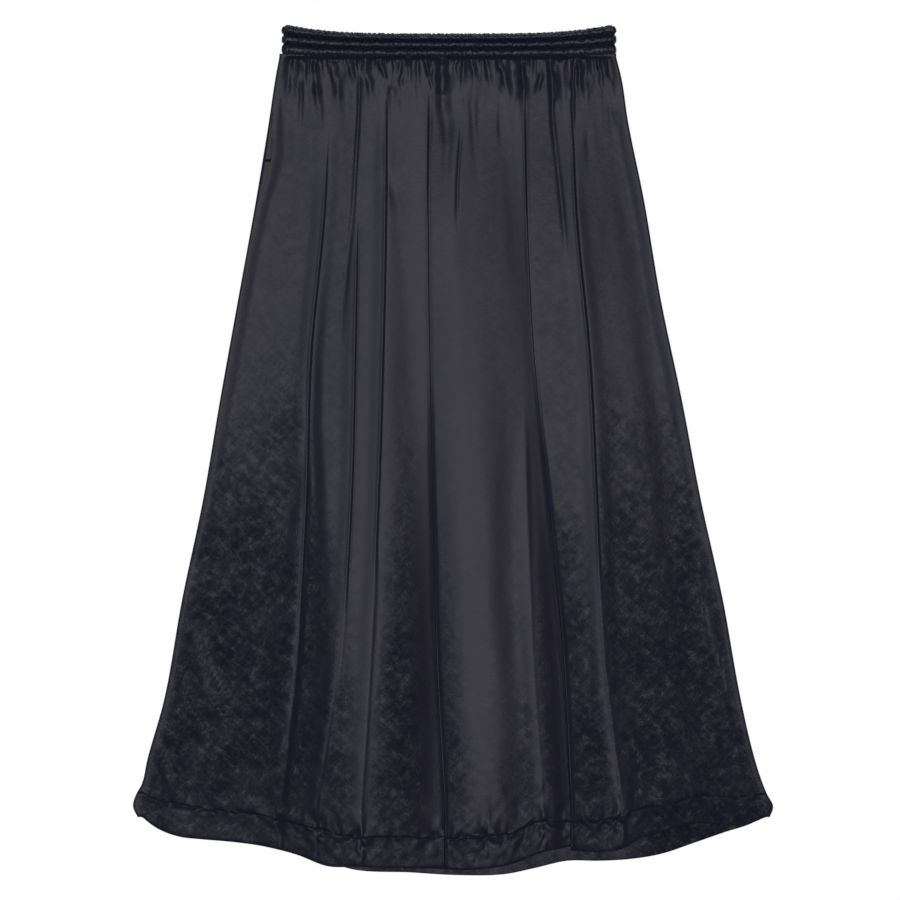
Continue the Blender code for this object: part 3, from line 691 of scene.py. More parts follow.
# Where the washed crumple begins: across, drop
crumpleStart = curve(*zip(*(
    (-350, 400), (-300, 420), (-200, 440), (-155, 480), (-132, 640), (-112, 690), (-90, 700), (-74, 560),
    (-45, 520), (-27, 560), (0, 620), (22, 790), (50, 810), (76, 770), (94, 620), (115, 550), (150, 560),
    (166, 450), (200, 470), (260, 460), (340, 420),
)))


lineEase = 0.3                         # share of a long line over which each of its ends fades
gathering = {
    "straightPast": 1.1,               # share of a gather's length past which its line runs straight down
    "wander": 1.6, "wanderLength": 13,
    "opening": 7,                      # length over which it opens
    "closing": (0.1, 1.2),             # where it starts to close and over what, as shares of its length
    "depthSwing": 0.6, "depthLength": 11,
    "widthSwing": 0.4, "widthLength": 17,
    "taper": 0.2,
}


def drawLines(across, drop, table):
    # the sum of the long lines of a table, each fading at its two ends
    height = 0.0
    for points, width, depth in table:
        stations = [p[0] for p in points]
        middle = curve(stations, [p[1] for p in points])(drop)
        ease = lineEase * (stations[-1] - stations[0])
        fade = smooth((drop - stations[0]) / ease + 0.5) * smooth((stations[-1] - drop) / ease + 0.5)
        height = height - depth * fade * bell(across - middle, width)
    return height


def drawGathers(across, drop, table, sign):
    height = 0.0
    for startAcross, startDrop, endAcross, endDrop, width, depth in table:
        share = (drop - startDrop) / (endDrop - startDrop)
        middle = startAcross + (endAcross - startAcross) * np.clip(share, 0.0, gathering["straightPast"])
        stray = cloud(drop / gathering["wanderLength"], startAcross * 0.37, 61)
        middle = middle + gathering["wander"] * stray
        opening = smooth((drop - startDrop) / gathering["opening"] + 1.0)
        deeper = 1 + gathering["depthSwing"] * cloud(drop / gathering["depthLength"], startAcross * 0.53, 62)
        closing = (1.0 - past(share, *gathering["closing"])) * deeper
        wider = 1 + gathering["widthSwing"] * cloud(drop / gathering["widthLength"], startAcross * 0.41, 63)
        narrow = width * (1.0 - gathering["taper"] * np.clip(share, 0.0, 1.0)) * wider
        height = height + sign * depth * opening * closing * bell(across - middle, narrow)
    return height


relief = {
    "tuck": 0.60, "tuckFade": 1.2,         # where the cloth goes in under the waistband
    "puff": 0.55, "puffFade": 30.0,
    "seamPucker": 0.85, "seamPuckerFade": 8.0,
    "softPucker": 0.55, "softPuckerFade": 26.0,
    "smallPucker": 0.10, "smallPuckerFade": 45.0,
    "gathers": 0.62, "lines": 0.50,        # shares of the depths in the tables above
    "broad": 0.12, "blotch": 0.26, "hatch": 0.10,
    "hemPucker": 1.0, "hemPuckerReach": 17.0,
    "stitchDip": 0.20, "stitchDipWidth": 0.9,
}


# Crests that stay smooth through the crumpled cloth: fold, distance from it, half width, the drops over
# which they grow less smooth
smoothCrests = (
    ("leftStep", -3, 19, 640, 960), ("leftStep", 0, 8, 900, 960), ("middleRidge", -3, 28, 780, 980),
    ("thinRidge", -1, 9, 860, 980), ("rightStep", -6, 9, 560, 760), ("rightStep", -2.5, 5.5, 900, 960),
    ("leftCrest", -1.5, 5, 740, 860), ("leftRidge", -1.0, 4.2, 900, 960), ("leftLap", -11, 12, 900, 960),
    ("rightLap", -9, 9, 900, 960), ("leftLap", 2, 2.5, 900, 960), ("rightLap", 2, 2.5, 900, 960),
    ("leftEdge", 4.5, 4.5, 900, 960), ("rightEdge", -4.5, 4.5, 900, 960),
)


crumpling = {
    "least": 0.10,
    "wander": 55, "wanderSize": 70,            # how far the line where it begins strays
    "lead": 110, "growth": 380,                # it sets in above that line and grows over this drop
    "swing": 0.38, "swingSize": (34, 46),
    "crestShare": 0.88, "crestLoss": 0.6,      # what a smooth crest takes away, and loses further down
    "pull": 2.2, "pullLimit": 0.9,             # how smooth the drag creases' crests are pulled
    "hemLoss": 0.42, "hemFrom": (850, 30),
    "dull": 0.9, "dullAcross": (195, 40), "dullFrom": (866, 12),       # the hem's right end
}


def crumpleAt(across, drop):
    size = crumpling["wanderSize"]
    wander = crumpling["wander"] * cloud(across / size, drop / size, 3)
    grown = smooth((drop - crumpleStart(across) + wander + crumpling["lead"]) / crumpling["growth"])
    crumple = crumpling["least"] + (1 - crumpling["least"]) * grown
    wide, long = crumpling["swingSize"]
    crumple = crumple * (1 + crumpling["swing"] * cloud(across / wide, drop / long, 4))
    for name, distance, width, start, end in smoothCrests:
        kept = crumpling["crestShare"] * (1 - crumpling["crestLoss"] * past(drop, start, end - start))
        crumple = crumple * (1 - kept * bell(across - lineNamed[name](drop) - distance, width))
    pulled = drawLines(across, drop, [line for line in dragLines if line[2] < 0])
    crumple = crumple * (1 - np.clip(crumpling["pull"] * pulled, 0, crumpling["pullLimit"]))
    dull = crumpling["dull"] * past(across, *crumpling["dullAcross"]) * past(drop, *crumpling["dullFrom"])
    return crumple * (1 - crumpling["hemLoss"] * past(drop, *crumpling["hemFrom"])) + dull


# The hem's puckers: how far each kind leans, its size across and down, where it starts and its seed
hemPuckerKinds = ((0.6, 13, 17, 5, 31), (-0.5, 9, 14, 0, 32), (-0.3, 3.4, 8, 0, 33))


def hemPuckers(across, toStitch):
    # short slanting puckers that the stitching draws up on both sides of its line
    near = np.exp(-np.abs(toStitch) / relief["hemPuckerReach"])
    leans, back, small = (
        cloud((across + lean * toStitch) / wide, toStitch / long + start, seed)
        for lean, wide, long, start, seed in hemPuckerKinds)
    # level patches with steep sides between them
    patches = smooth(0.5 + 1.5 * leans) + 0.7 * smooth(0.5 + 1.7 * back) + 0.42 * small - 0.85
    return relief["hemPucker"] * near * patches


def frontRelief(across, drop, toStitch):
    height = drawGathers(across, drop, gatherTable, -1) + drawGathers(across, drop, gatherRidges, 1)
    height = height * relief["gathers"]
    below = drop - cut["seamDrop"]
    height = height + relief["puff"] * np.exp(-below / relief["puffFade"])
    for name, wide, long, seed in (("seamPucker", 3.2, 16, 11), ("softPucker", 7, 45, 12)):
        pucker = relief[name] * cloud(across / wide, drop / long, seed)
        height = height + pucker * np.exp(-below / relief[name + "Fade"])
    small = cloud(across / 5, drop / 9, 17) + streaks(across, drop, 62, 13, 4, 18)
    height = height + relief["smallPucker"] * np.exp(-below / relief["smallPuckerFade"]) * small
    tucked = np.exp(-np.maximum(below, 0.0) / relief["tuckFade"])
    height = height * (1 - tucked) - relief["tuck"] * tucked
    height = height + relief["lines"] * drawLines(across, drop, softLines.values())
    height = height + drawLines(across, drop, dragLines)
    crumple = crumpleAt(across, drop)
    height = height + relief["broad"] * (0.3 + 0.7 * crumple) * cloud(across / 26, drop / 60, 13)
    height = height + relief["blotch"] * crumple * cloud(across / 10.5, drop / 10.5, 14)
    hatch = streaks(across, drop, 42, 15, 6.0, 15) + streaks(across, drop, -38, 15, 6.0, 16)
    height = height + relief["hatch"] * crumple * hatch
    return height + hemPuckers(across, toStitch)


def stitchDip(toStitch):
    return -relief["stitchDip"] * bell(toStitch, relief["stitchDipWidth"])


sheets = {
    "nearFold": (0.0, 0.7, 1.5, 2.7, 4.4),         # columns kept this far from each long fold
    "topStep": 1.9, "hemStep": 4.4,                # widest column steps at the two ends
    "rollShares": (0.0, 0.08, 0.2, 0.35, 0.5, 0.65, 0.82),
    "rows": ((0, 5.2, 1.3), (5.2, 50, 2.6), (50, 560, 8.2), (560, 838, 4.9)),
    "nearStitch": (4.4, 2.8, 1.8, 1.0, 0.5, 0.0),
    "rowGap": 2, "upperShare": 0.995,              # between the rows above and those near the stitching
    "frontTop": 0.1, "backTop": 0.3,               # how far under the waistband's seam the cloth starts
    "hemGap": 0.05,                                # from the stitch line, on both sides of it
    "lowest": 1.5, "settleEase": 0.02,             # the front's middle stays this high, clear of the back
    "lapFade": 50, "lapClear": 6,                  # the fine relief fades out towards a lap
    "lapStitchDip": 0.6,
    "hemRows": (0, 0.5, 1, 1.8, 3, 5, 7.2, 9.5, 12, 14.5, 17, 19.5, 22, 24.5, 27, 29.5, 31.4, 32.4, 33),
    "edgeDip": 0.38, "edgeDipFade": 1.8,           # the front hem's lower edge turns down
    "hemLayers": 0.66,                             # middle of one layer to the middle of the other
    "hemWall": 0.5,
    "hemLevel": 2.37,
    "hemBend": 5,
    "hemUnderStep": 3,                             # the hidden layer has one row for this many
    "backColumns": 116,
    "backRows": ((0, 56, 3.0), (56, 838, 7.6)),
    "backRoll": 7,
    "smoothAngle": 55,
}


def frontBlocks():
    # groups of columns, left to right: the roll, the stretches between folds and the laps
    near = sheets["nearFold"]
    blocks = [("roll", "left", np.array(sheets["rollShares"]))]
    for place in range(len(folds) + 1):
        widths = []
        for drop in (cut["seamDrop"], cut["hemDrop"]):
            start, end = stretchEnds(place, np.array(float(drop)), cut["wall"])
            widths.append(float(end - start) - 2 * near[-1])
        count = math.ceil(max(widths[0] / sheets["topStep"], widths[1] / sheets["hemStep"]))
        inner = [(near[-1] * (1 - 2 * k / count), k / count) for k in range(1, count)]
        columns = [(offset, 0.0) for offset in near] + inner + [(-offset, 1.0) for offset in near[:0:-1]]
        blocks.append(("stretch", place, np.array(columns)))        # what follows starts on the fold's line
        if place < len(folds) and folds[place]["lap"]:
            blocks.append(("lap", place, np.arange(2 * cut["bendSteps"] + cut["runSteps"])))
    blocks.append(("roll", "right", np.array((1.0,) + sheets["rollShares"][::-1])))
    return blocks


def settled(height, wall):
    # keeps the cloth softly above its lowest level
    above = height - sheets["lowest"] - wall / 2 + cut["wall"] / 2
    return height - above + (above + np.sqrt(above * above + sheets["settleEase"])) / 2


def unfolded(place, drop):
    # 1 above the start of a lap, 0 from a little way below it
    return 1.0 - past(drop, folds[place]["start"], sheets["lapFade"])


def blockPoints(block, drop, wall, level, toStitch):
    # across and height of the middle of the front cloth for one group of columns
    kind, place, columns = block
    if kind == "roll":
        return frontRoll(place, drop, columns, wall)
    if kind == "lap":
        path = lapPath(folds[place], drop)
        line = folds[place]["at"](drop)
        foot = settled(frontHeight(line + path[0][0], drop, place, wall, level), wall)
        order = np.arange(len(columns))
        across = line + path[0][columns, :, order].T
        height = foot + path[1][columns, :, order].T
        height = height + unfolded(place, drop) * frontRelief(across, drop, toStitch)
        return across, height + stitchDip(toStitch) * sheets["lapStitchDip"]
    start, end = stretchEnds(place, drop, wall)
    across = start + columns[:, 0] + (end - start) * columns[:, 1]
    keep = insideShare(across, drop, wall)
    for number, side in ((place - 1, across - start), (place, end - across)):
        if number in laps:
            keep = keep * np.maximum(unfolded(number, drop), smooth(side / sheets["lapClear"]))
    height = frontHeight(across, drop, place, wall, level)
    return across, settled(height + keep * frontRelief(across, drop, toStitch) + stitchDip(toStitch), wall)


def columnsAt(block, drop):
    # across of each column of a group at one drop, taken as far from the stitching
    farFromStitch = 500.0
    line = np.full((1, len(block[2])), drop)
    return blockPoints(block, line, cut["wall"], cut["frontLevel"], farFromStitch)[0][0]


def hemDropOf(block, name):
    # drop at which each column of the front meets the stitch line or the lower edge of the hem
    kind, place, columns = block
    if kind == "lap":
        share = columns / len(columns)
        line = folds[place]["at"](np.array(cut["hemDrop"]))
        run = laps.index(place)
        return frontHemRuns[run][name](line) * (1 - share) + frontHemRuns[run + 1][name](line) * share
    run = 0 if place == "left" else len(laps) if place == "right" else sum(place > n for n in laps)
    return frontHemRuns[run][name](columnsAt(block, cut["hemDrop"]))


def frontGrid(headOf, footOf, rowsOf, wall, level):
    # rows of the front cloth as arrays (across, drop, height)
    parts = []
    for block in frontBlocks():
        drop = rowsOf(headOf(block), footOf(block))
        across, height = blockPoints(block, drop, wall, level, hemDropOf(block, "stitch") - drop)
        parts.append((across, drop, height))
    return [np.concatenate([part[k] for part in parts], axis=1) for k in range(3)]


def panelRows(rowTable):
    # the rows of a panel: spread over its length as the table says, then closer together by the stitching
    near = np.array(sheets["nearStitch"])
    total = rowTable[-1][1]
    places = []
    for start, stop, step in rowTable:
        count = round((stop - start) / step)
        places += [start + (stop - start) * k / count for k in range(count)]
    shares = np.array([p for p in places if p < total - near[0] - sheets["rowGap"]]) / total

    def rowsOf(head, foot):
        upper = head + (foot - head - near[0]) * shares[:, None] / shares[-1] * sheets["upperShare"]
        return np.concatenate((upper, foot - near[:, None]))

    return rowsOf


def clothGrid(name, across, drop, height, flat, crumple):
    # a grid primitive whose points are moved on to the cloth, row by row from its lowest row
    rows, columns = across.shape
    deselectAll()
    bpy.ops.mesh.primitive_grid_add(
        x_subdivisions=columns - 1, y_subdivisions=rows - 1, size=1, calc_uvs=False)
    sheet = bpy.context.object
    sheet.name = name
    mesh = sheet.data
    points = np.stack((across, cut["length"] / 2 - drop, height), axis=-1) * mm
    mesh.vertices.foreach_set("co", points.reshape(-1).astype(np.float32))
    flat = flat.reshape(-1, 2) * mm
    corners = np.zeros(len(mesh.loops), np.int32)
    mesh.loops.foreach_get("vertex_index", corners)
    mesh.uv_layers.new(name="cloth").data.foreach_set("uv", flat[corners].reshape(-1).astype(np.float32))
    mesh.attributes.new("crumple", "FLOAT", "POINT").data.foreach_set(
        "value", crumple.reshape(-1).astype(np.float32))
    mesh.update()
    return sheet


def makeSheet(name, across, drop, height, wall, crumple):
    # the middle of a cloth, given its wall
    rows, columns = across.shape
    reach = np.hypot(np.diff(across, axis=1), np.diff(height, axis=1))
    along = np.concatenate((np.zeros((rows, 1)), np.cumsum(reach, axis=1)), axis=1)
    along = along - along[:, columns // 2][:, None]
    flat = np.stack((along, -drop), axis=-1)[::-1]
    sheet = clothGrid(name, across[::-1], drop[::-1], height[::-1], flat, crumple[::-1])

    solidify = sheet.modifiers.new("wall", "SOLIDIFY")
    solidify.thickness = wall * mm
    solidify.offset = 0.0
    solidify.use_even_offset = False
    useAlone(sheet)
    bpy.ops.object.modifier_apply(modifier=solidify.name)
    bpy.ops.object.shade_smooth_by_angle(angle=math.radians(sheets["smoothAngle"]))
    print(name, rows, "rows", columns, "columns", len(sheet.data.polygons) * 2, "triangles")
    return sheet


def foldUnder(across, drop, height):
    # turns a hem's one middle surface into its two layers, joined by the bend at the lower edge
    half = sheets["hemLayers"] / 2
    points = np.stack((across, -drop, height), axis=-1)
    rowWay = np.gradient(points, axis=0)
    columnWay = np.gradient(points, axis=1)
    normal = np.cross(columnWay, -rowWay)
    normal /= np.linalg.norm(normal, axis=-1, keepdims=True)
    downWay = rowWay[-1] / np.linalg.norm(rowWay[-1], axis=-1, keepdims=True)
    layers = [points + half * normal]
    for k in range(1, sheets["hemBend"]):
        turn = math.pi * k / sheets["hemBend"]
        layers.append((points[-1] + half * (normal[-1] * math.cos(turn) + downWay * math.sin(turn)))[None])
    layers.append((points - half * normal)[::-1][::sheets["hemUnderStep"]])
    folded = np.concatenate(layers)
    return folded[..., 0], -folded[..., 1], folded[..., 2]


def makeHem(name, across, drop, height):
    # a hem of two layers, from its one middle surface
    crumple = crumpleAt(across, drop)
    bend = np.repeat(crumple[-1:], sheets["hemBend"] - 1, axis=0)
    crumple = np.concatenate((crumple, bend, crumple[::-1][::sheets["hemUnderStep"]]))
    return makeSheet(name, *foldUnder(across, drop, height), sheets["hemWall"], crumple)


def hemRowsOf(head, foot):
    rows = np.array(sheets["hemRows"]) / sheets["hemRows"][-1]
    return head + (foot - sheets["hemLayers"] / 2 - head) * rows[:, None]


def makeFront():
    across, drop, height = frontGrid(
        lambda block: bandSeamDrop(columnsAt(block, cut["seamDrop"])) + sheets["frontTop"],
        lambda block: hemDropOf(block, "stitch") - sheets["hemGap"],
        panelRows(sheets["rows"]), cut["wall"], cut["frontLevel"])
    sheet = makeSheet("frontCloth", across, drop, height, cut["wall"], crumpleAt(across, drop))
    finishCloth(sheet, satinMaterial("washedSatin"), "skirt_cloth", "front_panel")


def makeFrontHem():
    # gives back the line for its stitches, on top of the cloth
    wall = sheets["hemLayers"] + sheets["hemWall"]
    across, drop, height = frontGrid(
        lambda block: hemDropOf(block, "stitch") + sheets["hemGap"],
        lambda block: hemDropOf(block, "edge"),
        hemRowsOf, wall, sheets["hemLevel"])
    height = height - sheets["edgeDip"] * np.exp((drop - drop[-1]) / sheets["edgeDipFade"])
    sheet = makeHem("frontHemCloth", across, drop, height)
    finishCloth(sheet, satinMaterial("washedSatinHem", 0.97), "hem_cloth", "front_hem")
    return across[0], drop[0], height[0] + wall / 2


def backLine(drop, wall):
    # across and height of the back cloth along a drop (one column of drops), from the left seam to the right
    quarter = (cut["rollCentre"] - wall / 2) * math.pi / 2
    steps = sheets["backRoll"]
    halves = {}
    for side in ("left", "right"):
        seam = sideSeam[side](drop) - seamGapAt(side, drop) / 2
        bendEnd = np.minimum(quarter, seam - cut["seamMargin"])
        stations = [seam, seam * 0.67 + bendEnd * 0.33, seam * 0.33 + bendEnd * 0.67]
        stations += [bendEnd + (-quarter - bendEnd) * i / steps for i in range(steps + 1)]
        halves[side] = [sidePoint(side, drop, along, wall) for along in stations]
    left, right = halves["left"], halves["right"][::-1]
    count = sheets["backColumns"]
    middle = []
    for step in range(1, count):
        share = step / count
        middle.append((left[-1][0] * (1 - share) + right[0][0] * share, wall / 2 + 0 * drop))
    line = left + middle + right
    return np.stack([p[0] for p in line], axis=-1), np.stack([p[1] for p in line], axis=-1)


# The back's long ridges, as rows like those of the front's drag creases, and its other creases
backRidges = (
    (((60, -140), (300, -168), (600, -205), (860, -250)), 9.0, -0.50),
    (((45, -88), (260, -96), (520, -120), (700, -132)), 6.0, -0.55),
    (((60, -38), (400, -40), (860, -66)), 10.0, -0.45),
    (((40, 22), (240, 30), (480, 34)), 5.0, -0.50),
    (((300, 52), (560, 68), (870, 84)), 9.0, -0.50),
    (((50, 96), (300, 120), (640, 158), (860, 172)), 7.0, -0.55),
    (((200, 170), (480, 214), (760, 262)), 10.0, -0.45),
)
backCreases = {
    "gather": 1.5, "gatherSize": (5.4, 60), "gatherShare": 0.15, "gatherFade": 30,
    "crumple": 0.32, "crumpleSize": 13,
    "pucker": 0.5,
    "highest": 0.45,
    "inside": (5, 12),                 # they start this far in from the edge, and grow over this
    "stitchLift": -0.9,                # the stitching lifts the cloth by this share of the front's dip
}


def backRelief(across, drop, toStitch):
    # creases that rise off the floor, so that the underside still rests flat between them
    below = drop - cut["seamDrop"]
    wide, long = backCreases["gatherSize"]
    gathers = np.maximum(cloud(across / wide, drop / long, 41) + backCreases["gatherShare"], 0.0)
    gathers = gathers * backCreases["gather"] * np.exp(-below / backCreases["gatherFade"])
    size = backCreases["crumpleSize"]
    crumple = np.maximum(cloud(across / size, drop / size, 42), 0.0) * backCreases["crumple"]
    pucker = np.maximum(hemPuckers(across, toStitch), 0.0) * backCreases["pucker"]
    ridges = drawLines(across, drop, backRidges)
    return np.minimum(gathers + ridges + crumple + pucker, backCreases["highest"])


def backGrid(headOf, footOf, rowsOf, wall):
    feet = backLine(np.array([cut["hemDrop"]]), wall)[0][0]
    heads = backLine(np.array([cut["seamDrop"]]), wall)[0][0]
    head, foot = headOf(heads, feet), footOf(feet)
    drop = rowsOf(head, foot)
    across, height = np.zeros_like(drop), np.zeros_like(drop)
    for column in range(drop.shape[1]):
        line = backLine(drop[:, column], wall)
        across[:, column], height[:, column] = line[0][:, column], line[1][:, column]
    edge = np.minimum(across - outline["left"](drop), outline["right"](drop) - across)
    inside = past(edge, *backCreases["inside"])
    toStitch = backHem["stitch"](across) - drop
    lift = stitchDip(toStitch) * backCreases["stitchLift"]
    return across, drop, height + inside * np.maximum(backRelief(across, drop, toStitch), lift)


def makeBack():
    across, drop, height = backGrid(
        lambda heads, feet: bandSeamDrop(heads) + sheets["backTop"],
        lambda feet: backHem["stitch"](feet) - sheets["hemGap"],
        panelRows(sheets["backRows"]), cut["wall"])
    sheet = makeSheet("backCloth", across, drop, height, cut["wall"], 0.5 * crumpleAt(across, drop))
    # a darker copy of the satin (0.95): painted shade on the back, the lower layer
    finishCloth(sheet, satinMaterial("backSatinPaintedShade", 1.02, 0.95), "skirt_cloth", "back_panel")


def makeBackHem():
    # gives back the line for its stitches, under the cloth
    wall = sheets["hemLayers"] + sheets["hemWall"]
    across, drop, height = backGrid(
        lambda heads, feet: backHem["stitch"](feet) + sheets["hemGap"],
        backHem["edge"],
        hemRowsOf, wall)
    sheet = makeHem("backHemCloth", across, drop, height)
    # a darker copy of the satin (0.9): painted shade where the back hem lies under the front hem's edge
    finishCloth(sheet, satinMaterial("backHemSatinPaintedShade", 1.0, 0.9), "hem_cloth", "back_hem")
    return across[0], drop[0], height[0] - wall / 2


def finishCloth(piece, material, slotName, *nodes):
    piece.data.materials.clear()
    piece.data.materials.append(material)
    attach(piece, body)
    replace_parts(piece, *nodes)


# The waistband: a flattened tube of cloth, ruched over three rows of elastic
waistband = {
    "wall": 2.2, "hollow": 0.3,
    "frontColumns": 600, "backColumns": 220, "endColumns": 12, "rows": 55,
    "endCloth": 10.0,          # how much cloth goes round one end
    "channels": 3,
    "pitch": 5.1,              # of the ruches
    "wander": 0.42,
    "lean": 0.55,              # how far a ruche leans across its channel, in ruches
    "strength": 0.82, "strengthSwing": 0.30,
    "tuft": 0.75,              # how round a ruche is: less is squarer
    "valley": -0.05,           # share of the puff left between two ruches
    "crestValley": 0.975,      # the same along the crest of a channel
    "crestWidth": 0.120,       # half width of that crest, as a share of the depth
    "crestSwell": 0.25, "crestWander": 0.036,
    "fine": 0.34, "fineLoss": 0.92,         # small puckers, and the share of them that a crest loses
    "zigzag": 0.045,           # how far the sewn grooves wander, as a share of the depth
    "zigzagReach": 0.13,
    "topNotch": 2.0, "notchStart": (0.72, 0.28),
    "lip": 1.3,                # how far the ruches hang over the skirt's gathers
    "lipReach": 0.16,
    "lipUnder": 0.98,
    "underShare": 0.70,
    "rings": 8,                # lines of the inner face
    "smoothAngle": 70,
}

# The outside of the tube, from the skirt seam to the top edge: share of the depth, thickness
tubeProfile = curve(*zip(
    (0.0, 1.25), (0.018, 1.9), (0.04, 2.7), (0.062, 3.22), (0.085, 3.34), (0.108, 3.36), (0.165, 3.365),
    (0.208, 3.36), (0.23, 3.34), (0.252, 3.2), (0.28, 2.6), (0.308, 1.8), (0.335, 0.9), (0.362, 1.8),
    (0.387, 2.6), (0.413, 3.24), (0.435, 3.39), (0.457, 3.41), (0.5, 3.415), (0.543, 3.41), (0.565, 3.39),
    (0.587, 3.24), (0.613, 2.6), (0.638, 1.8), (0.665, 0.9), (0.692, 1.8), (0.72, 2.6), (0.748, 3.22),
    (0.77, 3.36), (0.792, 3.38), (0.835, 3.385), (0.878, 3.38), (0.90, 3.36), (0.92, 3.22), (0.945, 2.7),
    (0.97, 2.0), (1.0, 1.1)))
grooveLines = (0.335, 0.665)
crestLines = (0.155, 0.5, 0.835)
grooveThickness = 0.9


def tubeRing():
    # the tube's inner line: across, height, the way out, place round the ring, share of underside
    radius = waistband["hollow"] / 2
    middle = waistband["wall"] + radius
    left = cut["bandMiddle"] - cut["bandHalfWidth"] + middle
    right = cut["bandMiddle"] + cut["bandHalfWidth"] - middle
    frontAcross = np.linspace(left, right, waistband["frontColumns"] + 1)
    backAcross = np.linspace(right, left, waistband["backColumns"] + 1)
    turn = np.linspace(0, math.pi, waistband["endColumns"] + 1)[1:-1]
    bend = waistband["endCloth"]
    parts = (
        (frontAcross, middle + radius + 0 * frontAcross, 0 * frontAcross, 1 + 0 * frontAcross, frontAcross),
        (right + radius * np.sin(turn), middle + radius * np.cos(turn), np.sin(turn), np.cos(turn),
         right + bend * turn / math.pi),
        (backAcross, middle - radius + 0 * backAcross, 0 * backAcross, -1 + 0 * backAcross,
         right + bend + right - backAcross),
        (left - radius * np.sin(turn), middle - radius * np.cos(turn), -np.sin(turn), -np.cos(turn),
         2 * right + bend - left + bend * turn / math.pi),
    )
    across, height, outAcross, outUp, place = (np.concatenate(column) for column in zip(*parts))
    return across, height, outAcross, outUp, place, np.clip(-1.5 * outUp, 0.0, 1.0)


def ruches(place, climb):
    # 0 in the valley between two ruches, about 1 on a ruche's back; each channel has its own
    count = waistband["channels"]
    channel = np.clip(np.floor(climb * count), 0, count - 1)
    centre = (channel + 0.5) / count
    phase = place / waistband["pitch"] + channel * 0.37
    phase = phase + waistband["wander"] * cloud(place / 11, channel * 3.7 + 0.5, 51)
    phase = phase + waistband["lean"] * (climb - centre) * count * cloud(place / 17, channel * 2.3 + 0.4, 52)
    uneven = cloud(np.floor(phase) * 0.73 + 0.31, channel * 1.9 + 0.4, 53)
    strength = waistband["strength"] + waistband["strengthSwing"] * uneven
    return strength * np.abs(np.sin(math.pi * phase)) ** waistband["tuft"]


def makeWaistband():
    across, inner, outAcross, outUp, place, under = tubeRing()
    climb = np.linspace(0, 1, waistband["rows"])[:, None]
    ridge = ruches(place, climb + 0 * place)
    puff = tubeProfile(climb) - grooveThickness
    crests = sum(bell(((climb - line) / waistband["crestWidth"]) ** 2, 1.0) for line in crestLines)
    valley = waistband["valley"] + (waistband["crestValley"] - waistband["valley"]) * crests
    thickness = grooveThickness + np.where(puff > 0, puff * (valley + (1 - valley) * ridge), puff)
    fine = waistband["fine"] * (1 - waistband["fineLoss"] * np.minimum(crests, 1.0))
    thickness = thickness + fine * cloud(place / 1.7, climb * 7 + 0.3, 54) * smooth(puff / 0.6)
    thickness = thickness + waistband["crestSwell"] * cloud(place / 7, climb * 3, 56) * smooth(puff / 1.2)
    below = np.minimum(thickness * waistband["underShare"], waistband["wall"])
    thickness = thickness * (1 - under) + below * under

    atGrooves = sum(bell(climb - line, waistband["zigzagReach"]) for line in grooveLines)
    wander = waistband["zigzag"] * atGrooves * cloud(place / 2.3, climb * 1.4 + 0.2, 55)
    wander = wander + waistband["crestWander"] * np.minimum(crests, 1.0) * cloud(place / 6, climb * 3, 57)
    atSeam, atTop = (ruches(place, share + 0 * climb + 0 * place) for share in (0.1, 0.9))
    notchTop = waistband["topNotch"] * past(climb, *waistband["notchStart"]) * (1 - atTop)
    lip = waistband["lip"] * (1 - under) * (1 - smooth(climb / waistband["lipReach"])) * atSeam
    top, seam = bandTopDrop(across), bandSeamDrop(across)
    drop = seam + (top - seam) * (climb + wander) + np.maximum(notchTop, 0) + lip
    outer = (across + thickness * outAcross, drop, inner + thickness * outUp)

    inside = np.linspace(0.97, 0.03, waistband["rings"])[:, None]
    insideDrop = drop[-1] + (seam - 0.3 - drop[-1]) * (1 - inside)
    innerFace = (across + 0 * inside, insideDrop, inner + 0 * inside)
    edge = waistband["lipUnder"] * (1 - 0.6 * under)[None, :]
    lipFoot = (across + edge * outAcross, seam[None, :] - 0.1, inner + edge * outUp)
    rows = [np.concatenate(parts) for parts in zip(outer, innerFace, lipFoot)]
    rows = [np.concatenate((r, r[:1])) for r in rows]
    rows = [np.concatenate((r, r[:, :1]), axis=1) for r in rows]

    points = np.stack(rows, axis=-1)
    middleRow = points[waistband["rows"] // 2]
    along = np.concatenate(([0.0], np.cumsum(np.linalg.norm(np.diff(middleRow, axis=0), axis=1))))
    section = points[:, 0]
    up = np.concatenate(([0.0], np.cumsum(np.linalg.norm(np.diff(section, axis=0), axis=1))))
    flat = np.stack(np.broadcast_arrays(along[None, :], up[:, None]), axis=-1)
    ring = clothGrid("waistbandCloth", *rows, flat, 0.10 + 0 * rows[0])

    useAlone(ring)
    bpy.ops.object.mode_set(mode="EDIT")
    bpy.ops.mesh.select_all(action="SELECT")
    bpy.ops.mesh.remove_doubles(threshold=0.000002)
    bpy.ops.object.mode_set(mode="OBJECT")
    bpy.ops.object.shade_smooth_by_angle(angle=math.radians(waistband["smoothAngle"]))
    print("waistbandCloth", len(ring.data.polygons) * 2, "triangles")
    # a lighter, teal-tinted copy of the satin: painted highlights and painted teal side light on the ruches
    paintedLightSatin = satinMaterial("ruchedSatinPaintedLight", 0.86, 1.35, 0.8, (1.35, 1.75, 1.05))
    finishCloth(ring, paintedLightSatin, "band_cloth", "waistband")

    grooves = []
    for line in grooveLines:
        row = int(round(line * (waistband["rows"] - 1)))
        front = slice(4, waistband["frontColumns"] - 4)
        grooves.append((outer[0][row][front], outer[1][row][front], outer[2][row][front]))
    return grooves


